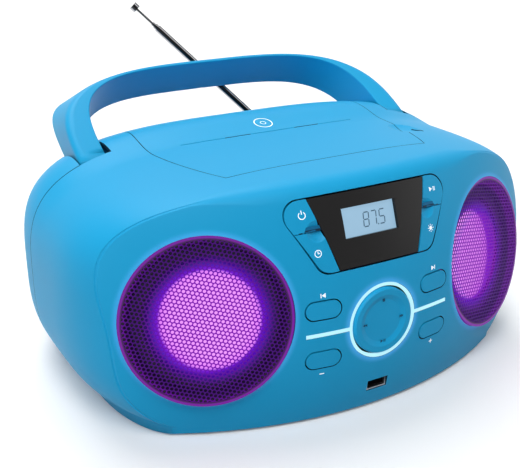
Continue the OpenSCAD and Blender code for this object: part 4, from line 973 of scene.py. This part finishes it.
baffle_back = -BAFFLE_DEPTH - BAFFLE_T
baffle = [(RIM_R, -BAFFLE_DEPTH), (BAFFLE_IN, -BAFFLE_DEPTH), (BAFFLE_IN, baffle_back), (RIM_R, baffle_back)]
for side, at in speaker_at.items():
    dress(perforated(f"{side}_mesh", at), f"{side}_grille_mesh", (grille_painted_light[side],), "cabinet", (f"{side}_grille",))
    dress(lathe("baffle", baffle, at), f"{side}_baffle", (behind[side],), "cabinet")


# Marks: thin prints on the fascia, the lid and the display

SIGN_LIFT, PRINT_LIFT, NAV_LIFT, LID_LIFT, DIGIT_LIFT = 0.34, 0.03, 0.08, 0.04, -2.42


def print_marks(name, shapes, place, mat, body="cabinet"):
    """Draws closed outlines (lists of (u, v)) as thin faces; place gives the point for a (u, v)."""
    verts, faces = [], []
    for shape in shapes:
        faces.append(tuple(range(len(verts), len(verts) + len(shape))))
        verts += [place(u, v) for u, v in shape]
    return dress(mesh_from(name, verts, faces, smooth=False), name, (mat,), body)


def fascia_print(at, lift):
    return lambda u, v: on_fascia(at, u, v, lift)


def power_sign(u, v):
    return band(u, v, 1.7, 2.15, 125, 415) + [block(u, v + 1.7, 0.45, 2.2)]


def clock_sign(u, v):
    return band(u, v, 1.65, 2.05) + [block(u, v + 0.6, 0.4, 1.6), block(u + 0.5, v, 1.2, 0.4)]


def play_sign(u, v):
    return [arrow(u - 1.2, v, 2.2, 1), block(u + 1.0, v, 0.5, 2.4), block(u + 2.0, v, 0.5, 2.4)]


def lamp_sign(u, v):
    ray = ((1.5, -0.12), (2.3, -0.08), (2.3, 0.08), (1.5, 0.12))
    turns = np.arange(8) * math.pi / 4
    rays = [[(u + r * math.cos(t + w), v + r * math.sin(t + w)) for r, w in ray] for t in turns]
    return band(u, v, 0.0, 1.1, n=16) + rays


for name, sign, place in (
    ("power", power_sign, (-43.4, 12.4)),
    ("clock", clock_sign, (-38.0, -9.0)),
    ("source", play_sign, (44.2, 12.6)),
    ("light", lamp_sign, (38.0, -9.0)),
):
    print_marks(f"{name}_mark", sign(*place), fascia_print(panel_at, SIGN_LIFT), print_white_painted_glow, f"{name}_button")

PRESET_U, PRESET_V, VOLUME_U, VOLUME_V, STROKE_L, STROKE_W = 37.2, 22.4, 38.2, -24.2, 2.8, 0.55
NAV_US, NAV_V = (13.2, 11.9), 12.4
presets = []
for way, _ in SIDES:
    presets += [arrow(way * PRESET_U, PRESET_V, 2.2, way), block(way * (PRESET_U + 1.6), PRESET_V, 0.5, 2.4)]
print_marks("preset_marks", presets, fascia_print(ring_at, PRINT_LIFT), print_white_painted_glow)
volume = [block(way * VOLUME_U, VOLUME_V, STROKE_L, STROKE_W) for way, _ in SIDES]
volume.append(block(VOLUME_U, VOLUME_V, STROKE_W, STROKE_L))
print_marks("volume_marks", volume, fascia_print(ring_at, PRINT_LIFT), print_white_painted_glow)
nav = [arrow(way * u, 0, 1.5, way) for way, _ in SIDES for u in NAV_US]
nav += [block(0, NAV_V, 1.7, 1.7), arrow(-0.8, -NAV_V, 1.6, 1)]
nav += [block(u, -NAV_V, 0.45, 1.8) for u in (0.7, 1.5)]
print_marks("nav_marks", nav, fascia_print(ring_at, NAV_LIFT), mark_dark, "nav_pad")

# Painted shade of the finger recess at the foot of the two upper buttons beside the display: a flat darker patch and a
# dark edge strip of painted shadow, as offsets from the button's inner corner

WING_IN, WING_SPLIT = 33.9, 2.9
RECESS_SHADE = ((0.2, 0.2), (10, 0.2), (8.6, 3.0), (1.1, 3.0))
RECESS_EDGE_SHADOW = ((0.1, 0.15), (13.1, 0.15), (13.1, 0.55), (9.6, 0.6), (9.2, 1.3), (0.5, 1.3))
RECESS_SHADE_LIFT, RECESS_EDGE_SHADOW_LIFT = 0.33, 0.35
for side, button in ((-1, "power"), (1, "source")):
    for part, outline, lift, mat in (
        ("recess", RECESS_SHADE, RECESS_SHADE_LIFT, recess_painted_shade),
        ("recess_edge_shadow", RECESS_EDGE_SHADOW, RECESS_EDGE_SHADOW_LIFT, blue_painted_shade),
    ):
        shape = [(side * (WING_IN + u), WING_SPLIT + v) for u, v in outline]
        print_marks(f"{button}_{part}", [shape], fascia_print(panel_at, lift), mat, f"{button}_button")

SEGMENTS = {"8": "abcdefg", "7": "abc", "5": "acdfg"}
DIGITS, DIGITS_V, POINT_AT, POINT = (("8", -4.6), ("7", 0.4), ("5", 6.0)), 3.6, (3.0, -0.2), 0.7


def digit(char, cx, cy, w=3.4, h=7.8, t=0.62, slant=0.08):
    """Slanted digit of seven segments, each t wide."""
    places = {
        "a": (0, h / 2, w - t, t), "g": (0, 0, w - t, t), "d": (0, -h / 2, w - t, t),
        "f": (-w / 2, h / 4, t, h / 2 - t), "b": (w / 2, h / 4, t, h / 2 - t),
        "e": (-w / 2, -h / 4, t, h / 2 - t), "c": (w / 2, -h / 4, t, h / 2 - t),
    }
    return [[(cx + u + slant * v, cy + v) for u, v in block(*places[s])] for s in SEGMENTS[char]]


def on_display(u, v):
    o, right, up, out = panel_at
    return o + u * right + v * up + DIGIT_LIFT * out


def on_lid(x, y):
    return x, y, float(deck_z(x, y)) + LID_LIFT


digits = [shape for char, u in DIGITS for shape in digit(char, u, DIGITS_V)]
print_marks("display_digits", digits + [block(*POINT_AT, POINT, POINT)], on_display, lcd_digit)

# Inner and outer radius and steps of each ring
DISC_MARK_Y, DISC_MARK_RINGS = 31, ((1.6, 2.0, 24), (5.6, 6.2, 40))
disc_mark = [shape for r0, r1, n in DISC_MARK_RINGS for shape in band(0, DISC_MARK_Y, r0, r1, n=n)]
print_marks("disc_mark", disc_mark, on_lid, print_white_painted_glow, "lid")

# Stage: camera, floor and light

CAMERA_AT, CAMERA_AIM = Vector((-284.2, -461.3, 290.0)) * MM, Vector((0, 35, 62)) * MM
LENS, SENSOR = 62.94, 36
FLOOR_SIZE = 12000
# Grey of the floor and strength of the world as they light the player, and as the background that is seen;
# the lift is a faint glow of the floor that is seen
FLOOR_LIGHT, FLOOR_SEEN, FLOOR_LIFT = 0.36, 0.97, 0.08
WORLD_LIGHT, WORLD_SEEN = 0.06, 1.0
# Way and strength of each broad light; all have the same spread, in degrees
SPREAD = 40
LIGHTS = (
    ("key", (0.33, 0.5, -0.95), 1.85),
    ("overhead", (-0.05, -0.55, -1.0), 1.75),
    ("left", (0.95, 0.25, -0.2), 0.85),
    ("right", (-0.85, 0.5, -0.15), 0.3),
)

cam_data = bpy.data.cameras.new("camera")
cam = bpy.data.objects.new("camera", cam_data)
bpy.context.scene.collection.objects.link(cam)
cam.location = CAMERA_AT
cam.rotation_euler = (CAMERA_AIM - CAMERA_AT).to_track_quat("-Z", "Y").to_euler()
cam_data.lens = LENS
cam_data.sensor_width = SENSOR
bpy.context.scene.camera = cam


def background_rays(tree):
    """Gives 1 for the rays that see the floor and the world as a background, and 0 for the light they give."""
    path = add_node(tree, "LightPath")
    seen = path.outputs["Is Camera Ray"]
    for ray in ("Is Glossy Ray", "Is Transmission Ray"):
        either = add_node(tree, "Math", operation="MAXIMUM")
        tree.links.new(seen, either.inputs[0])
        tree.links.new(path.outputs[ray], either.inputs[1])
        seen = either.outputs["Value"]
    return seen


floor_mat, tree, shader = new_material("floor")
set_inputs(shader, {"Roughness": 0.8, "Specular IOR Level": 0.2, "Emission Color": (1, 1, 1, 1)})
floor_seen = background_rays(tree)
paper = add_node(tree, "MixRGB", {"Color1": (FLOOR_LIGHT,) * 3 + (1,), "Color2": (FLOOR_SEEN,) * 3 + (1,)})
lift = add_node(tree, "Math", {1: FLOOR_LIFT}, "MULTIPLY")
tree.links.new(floor_seen, paper.inputs["Fac"])
tree.links.new(paper.outputs["Color"], shader.inputs["Base Color"])
tree.links.new(floor_seen, lift.inputs[0])
tree.links.new(lift.outputs["Value"], shader.inputs["Emission Strength"])
corners = [(x, y, 0) for x, y in block(0, 0, FLOOR_SIZE, FLOOR_SIZE)]
floor = mesh_from("floor", corners, [(0, 1, 2, 3)], floor_mat, smooth=False)

world = bpy.data.worlds.new("studio")
bpy.context.scene.world = world
world.use_nodes = True
tree = world.node_tree
background = tree.nodes["Background"]
set_inputs(background, {"Color": (1, 1, 1, 1)})
level = add_node(tree, "MapRange", {"To Min": WORLD_LIGHT, "To Max": WORLD_SEEN})
tree.links.new(background_rays(tree), level.inputs["Value"])
tree.links.new(level.outputs["Result"], background.inputs["Strength"])

for name, way, strength in LIGHTS:
    data = bpy.data.lights.new(name, "SUN")
    data.energy = strength
    data.angle = math.radians(SPREAD)
    lamp = bpy.data.objects.new(name, data)
    bpy.context.scene.collection.objects.link(lamp)
    lamp.rotation_euler = Vector(way).to_track_quat("-Z", "Y").to_euler()

bpy.context.scene.view_settings.view_transform = "Standard"
